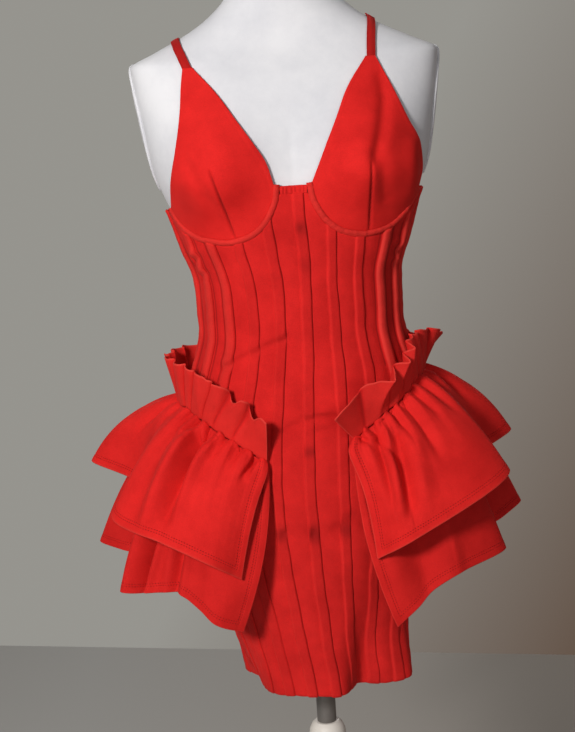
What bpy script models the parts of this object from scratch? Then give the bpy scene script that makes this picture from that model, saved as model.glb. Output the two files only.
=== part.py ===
"""A bustier mini dress with a two-tier ruffled peplum on each hip, worn by a limbless dress form.

The dress is cut as twenty vertical knit panels with a raised band along each seam, two cups with
their wire channels, two straps, and on each hip a pleated stand-up header over two gathered tiers.
Lengths are in millimetres here and become metres where a mesh is made. Z is the height above the
floor, -Y is the front, +X is the wearer's left, and the form's axis stands on the origin.
"""

import math

import bpy
import numpy as np
from mathutils import Vector

MM = 0.001

# Driving sizes of the dress
HEM_HEIGHT = 585.0
PANEL_COUNT = 20
BAND_WIDTH = 12.0
BAND_RISE = 1.3
WALL = 1.5
SIDE_SAG = 7.0
SEAM_GAP = 0.3
WIRE_WIDTH = 7.0
WIRE_RISE = 2.2
STRAP_WIDTH = 10.0
STRAP_THICKNESS = 1.6
STRAP_CLEARANCE = 1.3
STRAP_LIFT = 1.6
STRAP_LIFT_LENGTH = 22.0
BRIDGE_HEIGHT = 1196.0
BRIDGE_BINDING = 8.0
SIDE_TOP_HEIGHT = 1176.0

# Driving sizes of the form
FORM_CLEARANCE = 4.0
FORM_BUST = 0.88
FORM_BOTTOM = 792.0
POLE_RADIUS = 12.0
COLUMN_TOP = 518.0
BASE_RADIUS = 190.0

# Rings of the worn dress and of the form's shoulders and neck above it
RING_COLUMNS = ("height", "half_width", "front", "back", "power")
RINGS = (
    (560, 100, 79, 83, 2.10),
    (640, 106, 85, 90, 2.10),
    (710, 121, 92, 99, 2.10),
    (785, 140, 98, 106, 2.10),
    (850, 147, 102, 112, 2.10),
    (905, 144, 101, 109, 2.10),
    (960, 135, 97, 99, 2.10),
    (1030, 118, 88, 85, 2.05),
    (1080, 119, 90, 84, 2.05),
    (1130, 134, 96, 88, 2.15),
    (1175, 147, 99, 93, 2.20),
    (1225, 164, 98, 96, 2.30),
    (1270, 173, 90, 96, 2.40),
    (1315, 179, 76, 88, 2.45),
    (1334, 180.5, 66, 78, 2.45),
    (1349, 152, 59, 68, 2.30),
    (1368, 113, 54, 61, 2.20),
    (1386, 86, 52, 57, 2.10),
    (1406, 67, 51, 55, 2.00),
    (1432, 58, 50, 53, 2.00),
    (1470, 56, 49, 52, 2.00),
)

# One side of the bust, mirrored for the other
BUST_OUT = 33.0
BUST_X = 82.0
BUST_HEIGHT = 1211.0
BUST_SPREAD_X = 47.0
BUST_SPREAD_UP = 64.0
BUST_SPREAD_DOWN = 41.0

# Lower edge of a cup from the bridge to the side: distance from the centre front and height
WIRE_LINE = (
    (18, 1199),
    (20, 1184),
    (26, 1169),
    (36, 1154),
    (54, 1141),
    (78, 1135.5),
    (102, 1139),
    (121, 1151),
    (134, 1167),
    (140, 1181),
)
# Neckline edge and armhole edge of each cup, from the wire up to the strap, then the strap's
# way over the shoulder and down to the back edge
NECK_EDGE = {
    "left": ((18, 1199), (27, 1219), (38, 1243), (50, 1267), (65, 1297), (90, 1331)),
    "right": ((18, 1199), (25, 1223), (39, 1247), (56, 1272), (75, 1299), (103, 1331)),
}
ARM_EDGE = {
    "left": ((140, 1181), (145, 1203), (143, 1229), (131, 1260), (117, 1296), (101, 1331)),
    "right": ((140, 1181), (133, 1203), (124, 1238), (119, 1281), (117, 1308), (114, 1331)),
}
STRAP_PATH = {
    "left": ((96, 1329.9), (98, 1350), (101, 1374), (98, 1348), (88, 1250), (80, 1177.1)),
    "right": ((109.5, 1331.4), (117, 1348), (122, 1360.5), (112, 1338), (92, 1250), (83, 1177.1)),
}

# Turn of a band's middle on the front, next to an even spacing, as the dress twists on the form
TWIST_COLUMNS = ("height", "turn")
TWIST = (
    (560, 0.024),
    (605, 0.019),
    (650, 0.009),
    (700, 0.004),
    (750, -0.001),
    (850, -0.003),
    (905, 0.000),
    (960, 0.004),
    (1030, 0.010),
    (1090, 0.011),
    (1125, 0.009),
    (1190, 0.005),
    (1470, 0.005),
)
FRONT_PITCH = 0.048
FRONT_PANELS = 4

# Soft folds of the skirt where it hangs free under the form
FOLD_COLUMNS = ("turn", "depth", "spread", "starts_at")
SKIRT_FOLDS = (
    (0.035, 6.0, 0.030, 720),
    (0.088, -25.0, 0.036, 770),
    (0.190, 11.0, 0.030, 720),
    (-0.205, -25.0, 0.060, 660),
    (-0.330, 7.0, 0.040, 740),
    (-0.405, -13.0, 0.045, 760),
    (0.345, -12.0, 0.050, 750),
    (0.450, 6.0, 0.040, 720),
)

# The peplum's seam on the dress, from its front end on the hip to its back end at the waist
SEAM_COLUMNS = ("share", "turn", "height_left", "height_right")
PEPLUM_SEAM = (
    (0.00, 0.062, 904, 884),
    (0.14, 0.103, 924, 904),
    (0.30, 0.155, 944, 926),
    (0.45, 0.203, 959, 940),
    (0.58, 0.250, 959, 941),
    (0.78, 0.330, 951, 938),
    (1.00, 0.430, 947, 938),
)
# How far the seam stands off the dress, how far the header's top leans out, and how far it is
# drawn along the seam towards the centre front, on each side
STAND_COLUMNS = ("share", "stand_left", "lean_left", "drawn_left", "stand_right", "lean_right", "drawn_right")
PEPLUM_STAND = (
    (0.00, 7.8, 26, 28, 6.0, 24, 9),
    (0.08, 7.7, 14, 9, 6.0, 15, 12),
    (0.14, 7.7, 9, 5, 6.8, 10, 14),
    (0.30, 7.7, 4, 0, 9.0, 8, 14),
    (0.45, 8.0, -3, 0, 12.5, 11, 10),
    (0.54, 8.5, 2, 0, 14.5, 12, 6),
    (0.63, 11.0, 24, 0, 13.5, 14, 3),
    (0.74, 14.0, 37, 0, 12.5, 15, 0),
    (0.87, 9.0, 20, 0, 9.5, 12, 0),
    (1.00, 7.8, 10, 0, 6.2, 8, 0),
)
# Hem of each tier: outward from the axis, front-to-back place and height, all in the row's frame
HEM_COLUMNS = ("share", "out", "back", "height")
HEM_UPPER_RIGHT = (
    (0.00, 89, -126, 754),
    (0.13, 126, -146, 782),
    (0.28, 178, -128, 805),
    (0.42, 236, -72, 824),
    (0.52, 206, -18, 842),
    (0.63, 268, 42, 862),
    (0.76, 214, 104, 858),
    (0.86, 160, 128, 838),
    (1.00, 84, 142, 812),
)
HEM_UPPER_LEFT = (
    (0.00, 69, -128, 768),
    (0.13, 108, -148, 793),
    (0.28, 166, -134, 820),
    (0.42, 230, -74, 847),
    (0.52, 206, -16, 852),
    (0.63, 250, 44, 866),
    (0.76, 208, 106, 858),
    (0.86, 158, 130, 842),
    (1.00, 86, 144, 818),
)
HEM_LOWER_RIGHT = (
    (0.00, 92, -114, 686),
    (0.13, 122, -124, 700),
    (0.28, 168, -104, 736),
    (0.42, 230, -62, 727),
    (0.52, 196, -14, 742),
    (0.63, 266, 44, 757),
    (0.76, 204, 90, 752),
    (0.86, 150, 112, 738),
    (1.00, 88, 124, 716),
)
HEM_LOWER_LEFT = (
    (0.00, 89, -112, 680),
    (0.13, 116, -122, 706),
    (0.28, 160, -102, 734),
    (0.42, 224, -56, 747),
    (0.52, 194, -10, 744),
    (0.63, 258, 46, 772),
    (0.76, 202, 92, 756),
    (0.86, 150, 114, 740),
    (1.00, 90, 126, 720),
)
HEADER_HEIGHT = {"left": 49.0, "right": 57.0}
FRONT_PUFF = {"left": 10.0, "right": 4.0}
FRONT_PUFF_SHARE = 0.07
LOWER_FRONT_DRAW = 24.0
PLEATS = 12
PLEAT_DEPTH = 4.6
TUCK_DEPTH = 3.0
TIER_THICKNESS = 1.6
UPPER_BULGE = 21.0
BULGE_FULLER = {"left": 0.45, "right": 0.85}
LOWER_BULGE = 8.0
LOWER_TIER_INSET = 2.0

# Mesh densities
RING_SAMPLES = 720
PANEL_ROWS = 13
PANEL_PARTS = 2
CUT_OUT_PARTS = {0: 5, 1: 5, 4: 3, 5: 3, 16: 3, 17: 3}
PEPLUM_COLUMNS = 48
TIER_ROWS = 5
HEADER_ROWS = 2
CUP_COLUMNS = 10
CUP_ROWS = 9
WIRE_STEPS = 22
STRAP_STEPS = 22
TORSO_SIDES = 36

RED_KNIT = ("red_knit", (0.62, 0.022, 0.018, 1.0), 0.78, 0.0)
WHITE_JERSEY = ("white_jersey", (0.74, 0.74, 0.76, 1.0), 0.9, 0.0)
GREY_STEEL = ("grey_steel", (0.30, 0.29, 0.28, 1.0), 0.4, 0.9)
WHITE_WOOD = ("white_wood", (0.72, 0.68, 0.63, 1.0), 0.5, 0.0)


def smooth_column(rows, column, at):
    """A column of a table against its first one, as a cubic that never overshoots its rows."""
    table = np.array(rows, float)
    x, y = table[:, 0], table[:, column]
    step = np.diff(x)
    rise = np.diff(y) / step
    slope = np.zeros(len(x))
    slope[0], slope[-1] = rise[0], rise[-1]
    same_way = rise[:-1] * rise[1:] > 0
    weight_a = 2 * step[1:] + step[:-1]
    weight_b = step[1:] + 2 * step[:-1]
    with np.errstate(divide="ignore", invalid="ignore"):
        mean = (weight_a + weight_b) / (weight_a / rise[:-1] + weight_b / rise[1:])
    slope[1:-1] = np.where(same_way, mean, 0.0)
    at = np.clip(np.asarray(at, float), x[0], x[-1])
    i = np.clip(np.searchsorted(x, at, side="right") - 1, 0, len(x) - 2)
    t = (at - x[i]) / step[i]
    return (
        (2 * t**3 - 3 * t**2 + 1) * y[i]
        + (t**3 - 2 * t**2 + t) * step[i] * slope[i]
        + (3 * t**2 - 2 * t**3) * y[i + 1]
        + (t**3 - t**2) * step[i] * slope[i + 1]
    )


def path_through(points, count):
    """Evenly spaced points on a smooth curve through the given ones."""
    points = np.array(points, float)
    along = np.concatenate([[0], np.cumsum(np.linalg.norm(np.diff(points, axis=0), axis=1))])
    rows = np.column_stack([along, points])
    fine = np.linspace(0, along[-1], 400)
    curve = np.column_stack([smooth_column(rows, k + 1, fine) for k in range(points.shape[1])])
    length = np.concatenate([[0], np.cumsum(np.linalg.norm(np.diff(curve, axis=0), axis=1))])
    wanted = np.linspace(0, length[-1], count)
    return np.column_stack([np.interp(wanted, length, curve[:, k]) for k in range(curve.shape[1])])


def ring(height, inward=0.0):
    """The ring at a height as a closed line of points that starts at the centre front."""
    half, front, back, power = (float(smooth_column(RINGS, k, height)) for k in range(1, 5))
    half, front, back = half - inward, front - inward, back - inward
    angle = np.linspace(0, 2 * math.pi, RING_SAMPLES + 1)
    s, c = np.sin(angle), np.cos(angle)
    x = half * np.sign(s) * np.abs(s) ** (2 / power)
    depth = np.where(c > 0, front, back)
    y = -depth * np.sign(c) * np.abs(c) ** (2 / power)
    return x, y


def girth(height):
    x, y = ring(height)
    return float(np.hypot(np.diff(x), np.diff(y)).sum())


def bust(x, height):
    """How far the bust stands out of the ring at a place on its front."""
    spread = np.where(height > BUST_HEIGHT, BUST_SPREAD_UP, BUST_SPREAD_DOWN)
    across = (np.abs(x) - BUST_X) / BUST_SPREAD_X
    return BUST_OUT * np.exp(-(across**2) - ((height - BUST_HEIGHT) / spread) ** 2)


def skirt_fold(turn, height):
    """How far the free skirt's folds move it out, as a share of the way down to the hem."""
    out = 0.0
    for at, depth, spread, starts in SKIRT_FOLDS:
        down = np.clip((starts - height) / (starts - HEM_HEIGHT), 0, 1)
        away = (turn - at + 0.5) % 1.0 - 0.5
        out = out + depth * down**1.6 * np.exp(-((away / spread) ** 2))
    return out


def ease(x, start, end):
    """Goes smoothly from 0 at the start to 1 at the end."""
    t = min(max((x - start) / (end - start), 0.0), 1.0)
    return t * t * (3 - 2 * t)


def side_sag(turn, height):
    """How far the top edge has slipped down at the side on the wearer's right."""
    away = -((turn + 0.5) % 1.0 - 0.5)
    aside = ease(away, 0.13, 0.20) * (1 - ease(away, 0.30, 0.40))
    return SIDE_SAG * aside * ease(height, 1080, 1165) * (1 - ease(height, 1210, 1275))


def surface(turn, height, out=0.0, inward=0.0, bust_share=1.0):
    """A point of the worn surface. Turn goes evenly round the ring, from 0 at the centre front."""
    if inward == 0.0:
        height = height - side_sag(turn, height)
    x, y = ring(height, inward)
    along = np.concatenate([[0], np.cumsum(np.hypot(np.diff(x), np.diff(y)))])
    at = (turn % 1.0) * along[-1]
    px, py = np.interp(at, along, x), np.interp(at, along, y)
    step = along[-1] / RING_SAMPLES * 3
    before, after = (at - step) % along[-1], (at + step) % along[-1]
    tx = np.interp(after, along, x) - np.interp(before, along, x)
    ty = np.interp(after, along, y) - np.interp(before, along, y)
    length = math.hypot(tx, ty)
    nx, ny = ty / length, -tx / length
    far = out + (bust_share * float(bust(px, height)) if py < 0 else 0.0)
    if height < FORM_BOTTOM - 10:
        far += float(skirt_fold(turn, height))
    return np.array([px + nx * far, py + ny * far, height])


def seam_turn(k, height):
    """The turn of the middle of the k-th band at a height."""
    k = (k + PANEL_COUNT // 2) % PANEL_COUNT - PANEL_COUNT // 2
    back_pitch = (0.5 - FRONT_PANELS * FRONT_PITCH) / (PANEL_COUNT // 2 - FRONT_PANELS)
    even = min(abs(k), FRONT_PANELS) * FRONT_PITCH + max(abs(k) - FRONT_PANELS, 0) * back_pitch
    return math.copysign(even, k) + float(smooth_column(TWIST, 1, height))


def turn_of(x, height):
    """The turn at which the ring at this height, bust left out, is x from the centre front."""
    rx, ry = ring(height)
    quarter = RING_SAMPLES // 4
    along = np.concatenate([[0], np.cumsum(np.hypot(np.diff(rx), np.diff(ry)))])
    return math.copysign(float(np.interp(abs(x), rx[: quarter + 1], along[: quarter + 1])) / along[-1], x)


def material(kind):
    name, colour, roughness, metallic = kind
    made = bpy.data.materials.get(name)
    if made is None:
        made = bpy.data.materials.new(name)
        made.use_nodes = True
        shader = made.node_tree.nodes["Principled BSDF"]
        shader.inputs["Base Color"].default_value = colour
        shader.inputs["Roughness"].default_value = roughness
        shader.inputs["Metallic"].default_value = metallic
    return made


def add_mesh(name, points, faces, kind, sharp_angle=40):
    """One named solid from points in millimetres, its faces turned outward."""
    mesh = bpy.data.meshes.new(name)
    mesh.from_pydata([tuple(float(c) * MM for c in p) for p in points], [], faces)
    mesh.validate()
    corners = np.array([v.co for v in mesh.vertices])
    mesh.calc_loop_triangles()
    triangles = np.array([t.vertices for t in mesh.loop_triangles])
    if np.linalg.det(corners[triangles]).sum() < 0:
        mesh.flip_normals()
    mesh.shade_smooth()
    mesh.set_sharp_from_angle(angle=math.radians(sharp_angle))
    mesh.materials.append(material(kind))
    obj = bpy.data.objects.new(name, mesh)
    bpy.context.scene.collection.objects.link(obj)
    return obj


def normals_of(grid):
    """Unit normals of a grid of points, from its own rows and columns."""
    across = np.gradient(grid, axis=1)
    up = np.gradient(grid, axis=0)
    normal = np.cross(across, up)
    return normal / np.linalg.norm(normal, axis=2, keepdims=True)


def sheet_solid(name, outer, inner, kind):
    """Closes two matching grids of points, the two faces of a cloth, into one solid."""
    rows, columns = outer.shape[:2]
    points = np.concatenate([outer.reshape(-1, 3), inner.reshape(-1, 3)])
    back = rows * columns
    faces = []
    for r in range(rows - 1):
        for c in range(columns - 1):
            a, b = r * columns + c, r * columns + c + 1
            d, e = a + columns, b + columns
            faces.append((a, b, e, d))
            faces.append((back + a, back + d, back + e, back + b))
    edge = [(0, c) for c in range(columns - 1)]
    edge += [(r, columns - 1) for r in range(rows - 1)]
    edge += [(rows - 1, c) for c in range(columns - 1, 0, -1)]
    edge += [(r, 0) for r in range(rows - 1, 0, -1)]
    rim = [r * columns + c for r, c in edge]
    for i, a in enumerate(rim):
        b = rim[(i + 1) % len(rim)]
        faces.append((b, a, back + a, back + b))
    return add_mesh(name, points, faces, kind)


def section_solid(name, sections, kind, closed_ends=True):
    """A solid through matching closed sections, capped at both ends."""
    count, sides = len(sections), len(sections[0])
    points = np.concatenate(sections)
    faces = []
    for r in range(count - 1):
        for c in range(sides):
            a, b = r * sides + c, r * sides + (c + 1) % sides
            faces.append((a, b, b + sides, a + sides))
    if closed_ends:
        faces.append(tuple(reversed(range(sides))))
        faces.append(tuple((count - 1) * sides + c for c in range(sides)))
    return add_mesh(name, points, faces, kind)


def wire_points(count, aside=0.0):
    """The wire's line as (turn, height), moved aside within the surface, upward for a positive value."""
    line = path_through(WIRE_LINE, count)
    flat = np.array([[turn_of(x, z) * girth(z), z] for x, z in line])
    along = np.gradient(flat, axis=0)
    along /= np.linalg.norm(along, axis=1, keepdims=True)
    moved = flat + aside * np.column_stack([-along[:, 1], along[:, 0]])
    return np.array([[s / girth(z), z] for s, z in moved])


def panel_top(turn, edge):
    """Height of a panel's top: the bridge, the wire channel's lower edge, or the side and back edge."""
    away = abs((turn + 0.5) % 1.0 - 0.5)
    lowest = int(np.argmin(edge[:, 1]))
    ends_at = edge[-1, 0]
    bridge = BRIDGE_HEIGHT - BRIDGE_BINDING - SEAM_GAP
    if away <= edge[0, 0]:
        return bridge
    if away < ends_at:
        order = np.argsort(edge[:, 0])
        clear = 2.5 if away > ends_at - 0.02 else 0.0
        return min(bridge, float(np.interp(away, edge[order, 0], edge[order, 1]))) - clear
    end = edge[lowest:][-1, 1]
    blend = min(1.0, (away - ends_at) / 0.012)
    return end + (SIDE_TOP_HEIGHT - end) * blend


def add_panels():
    """Twenty panels, each with the raised band that covers the seam on its right-hand edge."""
    edge = wire_points(60, aside=-(WIRE_WIDTH / 2 + 3 * SEAM_GAP))
    for k in range(PANEL_COUNT):
        parts = CUT_OUT_PARTS.get(k, PANEL_PARTS)
        rows = []
        inner_rows = []
        for share in np.linspace(0, 1, PANEL_ROWS + 1):
            outer, inner = [], []
            nominal = HEM_HEIGHT + share * (SIDE_TOP_HEIGHT - HEM_HEIGHT)
            half_band = BAND_WIDTH / 2 / girth(nominal)
            gap = SEAM_GAP / girth(nominal)
            before, middle = seam_turn(k - 1, nominal), seam_turn(k, nominal)
            if before > middle:
                before -= 1.0
            start = before + half_band + gap / 2
            foot = middle - half_band
            end = middle + half_band - gap / 2
            turns = [(start + (foot - start) * i / parts, 0.0) for i in range(parts + 1)]
            turns += [(foot + 0.12 * half_band, BAND_RISE), (end, BAND_RISE)]
            for turn, rise in turns:
                height = HEM_HEIGHT + share * (panel_top(turn, edge) - HEM_HEIGHT)
                outer.append(surface(turn, height, rise))
                inner.append(surface(turn, height, -WALL))
            rows.append(outer)
            inner_rows.append(inner)
        sheet_solid(f"panel_{k:02d}", np.array(rows), np.array(inner_rows), RED_KNIT)


def cup_grid(name, side):
    """Points of a cup's outer face, from the wire channel's upper edge to the strap."""
    bottom = wire_points(CUP_COLUMNS + 1, aside=WIRE_WIDTH / 2 + 2 * SEAM_GAP)
    neck = np.array([[turn_of(x, z), z] for x, z in path_through(NECK_EDGE[name], CUP_ROWS + 1)])
    arm = np.array([[turn_of(x, z), z] for x, z in path_through(ARM_EDGE[name], CUP_ROWS + 1)])
    rows = []
    for r in range(CUP_ROWS + 1):
        up = r / CUP_ROWS
        row = []
        for c in range(CUP_COLUMNS + 1):
            across = c / CUP_COLUMNS
            ruled = (1 - across) * neck[r] + across * arm[r]
            straight = (1 - across) * neck[0] + across * arm[0]
            place = ruled + (1 - up) ** 1.5 * (bottom[c] - straight)
            row.append(surface(side * place[0], place[1], 0.3))
        rows.append(row)
    return np.array(rows)


def add_cups():
    for name, side in (("left", 1), ("right", -1)):
        outer = cup_grid(name, side)
        normal = normals_of(outer) * side
        sheet_solid(f"cup_{name}", outer, outer - WALL * normal, RED_KNIT)


def add_wire_channels():
    """The stitched channel that holds the underwire: a half-round rib between cup and panels."""
    for name, side in (("left", 1), ("right", -1)):
        lower = wire_points(WIRE_STEPS + 1, aside=-WIRE_WIDTH / 2)
        upper = wire_points(WIRE_STEPS + 1, aside=WIRE_WIDTH / 2)
        sections = []
        for low, high in zip(lower, upper):
            section = []
            for across, out in ((0, -WALL), (0, 0.9), (0.28, WIRE_RISE), (0.72, WIRE_RISE), (1, 0.9), (1, -WALL)):
                turn, height = low + across * (high - low)
                section.append(surface(side * turn, height, out))
            sections.append(np.array(section))
        section_solid(f"wire_channel_{name}", sections, RED_KNIT)


def add_bridge_binding():
    """The narrow gathered band that joins the two cups at the bottom of the neckline."""
    inner_edge = wire_points(60, aside=-(WIRE_WIDTH / 2 + SEAM_GAP))
    low, high = BRIDGE_HEIGHT - BRIDGE_BINDING, BRIDGE_HEIGHT
    reach = float(np.interp(-low, -inner_edge[:20, 1], inner_edge[:20, 0])) - SEAM_GAP / girth(low)
    reach = min(reach, inner_edge[0, 0] - SEAM_GAP / girth(low))
    rows, inner_rows = [], []
    for height in (low, (low + high) / 2, high):
        turns = np.linspace(-reach, reach, 13)
        gather = [0.9 if i % 2 else 0.3 for i in range(13)]
        rows.append([surface(t, height, g) for t, g in zip(turns, gather)])
        inner_rows.append([surface(t, height, -WALL) for t in turns])
    sheet_solid("bridge_binding", np.array(rows), np.array(inner_rows), RED_KNIT)


def form_level(point):
    """Below 1 inside the form, 1 on its surface, the bust left out."""
    x, y, z = point
    half, front, back, power = (float(smooth_column(RINGS, k, z)) for k in range(1, 5))
    half, depth = half - FORM_CLEARANCE, (front if y < 0 else back) - FORM_CLEARANCE
    return abs(x / half) ** power + abs(y / depth) ** power


def form_out(point):
    """The unit way out of the form at a point on it."""
    steps = np.eye(3) * 0.5
    slope = np.array([form_level(point + s) - form_level(point - s) for s in steps])
    return slope / np.linalg.norm(slope)


def strap_line(name, side):
    """Evenly spaced points of a strap's centre line on the form, over the shoulder to the back edge."""
    quarter = RING_SAMPLES // 4
    points = []
    over, down = path_through(STRAP_PATH[name][:3], 160), path_through(STRAP_PATH[name][2:], 160)[1:]
    for front, line in ((True, over), (False, down)):
        for x, height in line:
            rx, ry = ring(height, FORM_CLEARANCE)
            x = min(x, rx.max() - 0.05)
            if front:
                y = np.interp(x, rx[: quarter + 1], ry[: quarter + 1])
            else:
                y = np.interp(x, rx[quarter : 2 * quarter + 1][::-1], ry[quarter : 2 * quarter + 1][::-1])
            points.append((x, float(y), height))
    line = path_through(points, STRAP_STEPS + 1)
    line[:, 0] *= side
    return line


def add_straps():
    for name, side in (("left", 1), ("right", -1)):
        line = strap_line(name, side)
        along = np.gradient(line, axis=0)
        sections = []
        for i, (p, t) in enumerate(zip(line, along)):
            out = form_out(p)
            across = np.cross(out, t)
            half = across / np.linalg.norm(across) * STRAP_WIDTH / 2
            lift = STRAP_LIFT * math.exp(-i * float(np.linalg.norm(t)) / STRAP_LIFT_LENGTH)
            low = p + out * (STRAP_CLEARANCE + lift)
            high = low + out * STRAP_THICKNESS
            sections.append(np.array([low - half, low + half, high + half, high - half]))
        section_solid(f"strap_{name}", sections, RED_KNIT)


def seam_frame(share, side):
    """A point of the peplum's seam, the way out of the dress, the way to the centre front, the stand-off."""
    left = side > 0
    turn = side * float(smooth_column(PEPLUM_SEAM, 1, share))
    height = float(smooth_column(PEPLUM_SEAM, 2 if left else 3, share))
    stand = float(smooth_column(PEPLUM_STAND, 1 if left else 4, share))
    on_dress = surface(turn, height)
    out = surface(turn, height, 1.0) - on_dress
    to_front = np.array([out[1], -out[0], 0.0]) * side
    return on_dress, out, to_front, stand


def pleat(share):
    return math.sin(2 * math.pi * PLEATS * share)


def add_headers():
    """The stand-up pleated strip above the peplum's seam."""
    for name, side in (("left", 1), ("right", -1)):
        rows = []
        for r in range(HEADER_ROWS + 1):
            up = r / HEADER_ROWS
            row = []
            for c in range(PEPLUM_COLUMNS + 1):
                share = c / PEPLUM_COLUMNS
                base, out, to_front, stand = seam_frame(share, side)
                lean = float(smooth_column(PEPLUM_STAND, 2 if side > 0 else 5, share))
                drawn = float(smooth_column(PEPLUM_STAND, 3 if side > 0 else 6, share))
                rise = math.sqrt(HEADER_HEIGHT[name] ** 2 - lean**2 - drawn**2)
                wave = PLEAT_DEPTH * (0.75 + 0.5 * up) * pleat(share)
                place = base + out * (stand + lean * up**1.3 + wave) + to_front * drawn * up
                row.append(place + np.array([0, 0, 0.9 + up * rise]))
            rows.append(row)
        middle = np.array(rows)
        normal = normals_of(middle) * side
        half = TIER_THICKNESS / 2
        sheet_solid(f"header_{name}", middle + half * normal, middle - half * normal, RED_KNIT)


def tier_grid(side, hem_rows, bulge, inset, front_draw, front_puff, columns, rows_count):
    """Middle surface of a tier: from the seam out over its bulge and down to its hem."""
    rows = []
    for r in range(rows_count + 1):
        down = r / rows_count
        row = []
        for c in range(columns + 1):
            share = c / columns
            base, out, to_front, stand = seam_frame(share, side)
            start = base + out * (stand - inset) + np.array([0, 0, -0.9 - inset * 1.1])
            hem = np.array([float(smooth_column(hem_rows, k, share)) for k in (1, 2, 3)])
            hem[0] *= side
            fuller = 1 + BULGE_FULLER["left" if side > 0 else "right"] * math.exp(-(((share - 0.66) / 0.16) ** 2))
            lift = (out * 0.75 + np.array([0, 0, 0.65])) * fuller
            at_front = math.exp(-((share / FRONT_PUFF_SHARE) ** 2))
            control = start + 0.42 * (hem - start) + bulge * lift + to_front * front_draw * at_front
            wave = TUCK_DEPTH * (1 - down) ** 2.2 * pleat(share)
            puff = front_puff * at_front * down / 0.15 * math.exp(1 - down / 0.15)
            place = (1 - down) ** 2 * start + 2 * down * (1 - down) * control + down**2 * hem
            row.append(place + out * wave + to_front * puff)
        rows.append(row)
    return np.array(rows)


def add_tiers():
    tiers = (
        ("tier_upper_left", 1, HEM_UPPER_LEFT, UPPER_BULGE, 0.0, 0.0, FRONT_PUFF["left"]),
        ("tier_upper_right", -1, HEM_UPPER_RIGHT, UPPER_BULGE, 0.0, 0.0, FRONT_PUFF["right"]),
        ("tier_lower_left", 1, HEM_LOWER_LEFT, LOWER_BULGE, LOWER_TIER_INSET, LOWER_FRONT_DRAW, 0.0),
        ("tier_lower_right", -1, HEM_LOWER_RIGHT, LOWER_BULGE, LOWER_TIER_INSET, LOWER_FRONT_DRAW, 0.0),
    )
    for name, side, hem_rows, bulge, inset, front_draw, front_puff in tiers:
        middle = tier_grid(side, hem_rows, bulge, inset, front_draw, front_puff, PEPLUM_COLUMNS, TIER_ROWS)
        normal = normals_of(middle) * -side
        half = TIER_THICKNESS / 2
        sheet_solid(name, middle + half * normal, middle - half * normal, RED_KNIT)


def add_form():
    """The padded torso, smooth and whole, on its pole, turned column and round base."""
    heights = [FORM_BOTTOM, FORM_BOTTOM + 6, 850, 905, 955, 990, 1022, 1055, 1090, 1135, 1165]
    heights += [1190, 1215, 1240, 1270, 1300, 1322, 1337, 1344, 1354, 1363, 1372, 1388, 1406, 1432, 1466, 1470]
    sections = []
    for height in heights:
        tuck = 6.0 if height in (FORM_BOTTOM, heights[-1]) else 0.0
        turns = np.arange(TORSO_SIDES) / TORSO_SIDES
        sections.append(np.array([surface(t, height, -tuck, FORM_CLEARANCE, FORM_BUST) for t in turns]))
    section_solid("form_torso", sections, WHITE_JERSEY)
    pole = ((0, COLUMN_TOP + 0.3), (POLE_RADIUS, COLUMN_TOP + 0.3), (POLE_RADIUS, FORM_BOTTOM - 0.3), (0, FORM_BOTTOM - 0.3))
    add_turned("form_pole", pole, 20, GREY_STEEL)
    column = (
        (0, 20.3),
        (30, 20.3),
        (30, 26),
        (22, 44),
        (17, 60),
        (17, 300),
        (19, 440),
        (23, 470),
        (19, 482),
        (21, 492),
        (23, 502),
        (20, 513),
        (15, COLUMN_TOP),
        (0, COLUMN_TOP),
    )
    add_turned("form_column", column, 20, WHITE_WOOD)
    base = ((0, 0), (BASE_RADIUS - 3, 0), (BASE_RADIUS, 3), (BASE_RADIUS, 13), (BASE_RADIUS - 8, 20), (0, 20))
    add_turned("form_base", base, 40, WHITE_WOOD)


def add_turned(name, profile, sides, kind):
    """A turned piece from a profile of (radius, height) that starts and ends on the axis."""
    points = [(0, 0, profile[0][1])]
    for radius, height in profile[1:-1]:
        for i in range(sides):
            a = 2 * math.pi * i / sides
            points.append((radius * math.cos(a), radius * math.sin(a), height))
    points.append((0, 0, profile[-1][1]))
    rings = len(profile) - 2
    top = len(points) - 1
    faces = []
    for i in range(sides):
        j = (i + 1) % sides
        faces.append((0, 1 + j, 1 + i))
        for r in range(rings - 1):
            a = 1 + r * sides
            faces.append((a + i, a + j, a + j + sides, a + i + sides))
        last = 1 + (rings - 1) * sides
        faces.append((last + i, last + j, top))
    return add_mesh(name, points, faces, kind)


def main():
    for obj in list(bpy.data.objects):
        bpy.data.objects.remove(obj, do_unlink=True)
    add_form()
    add_panels()
    add_cups()
    add_wire_channels()
    add_bridge_binding()
    add_straps()
    add_headers()
    add_tiers()


main()
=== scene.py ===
import math

import bpy
import numpy as np
from mathutils import Matrix, Vector


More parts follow.
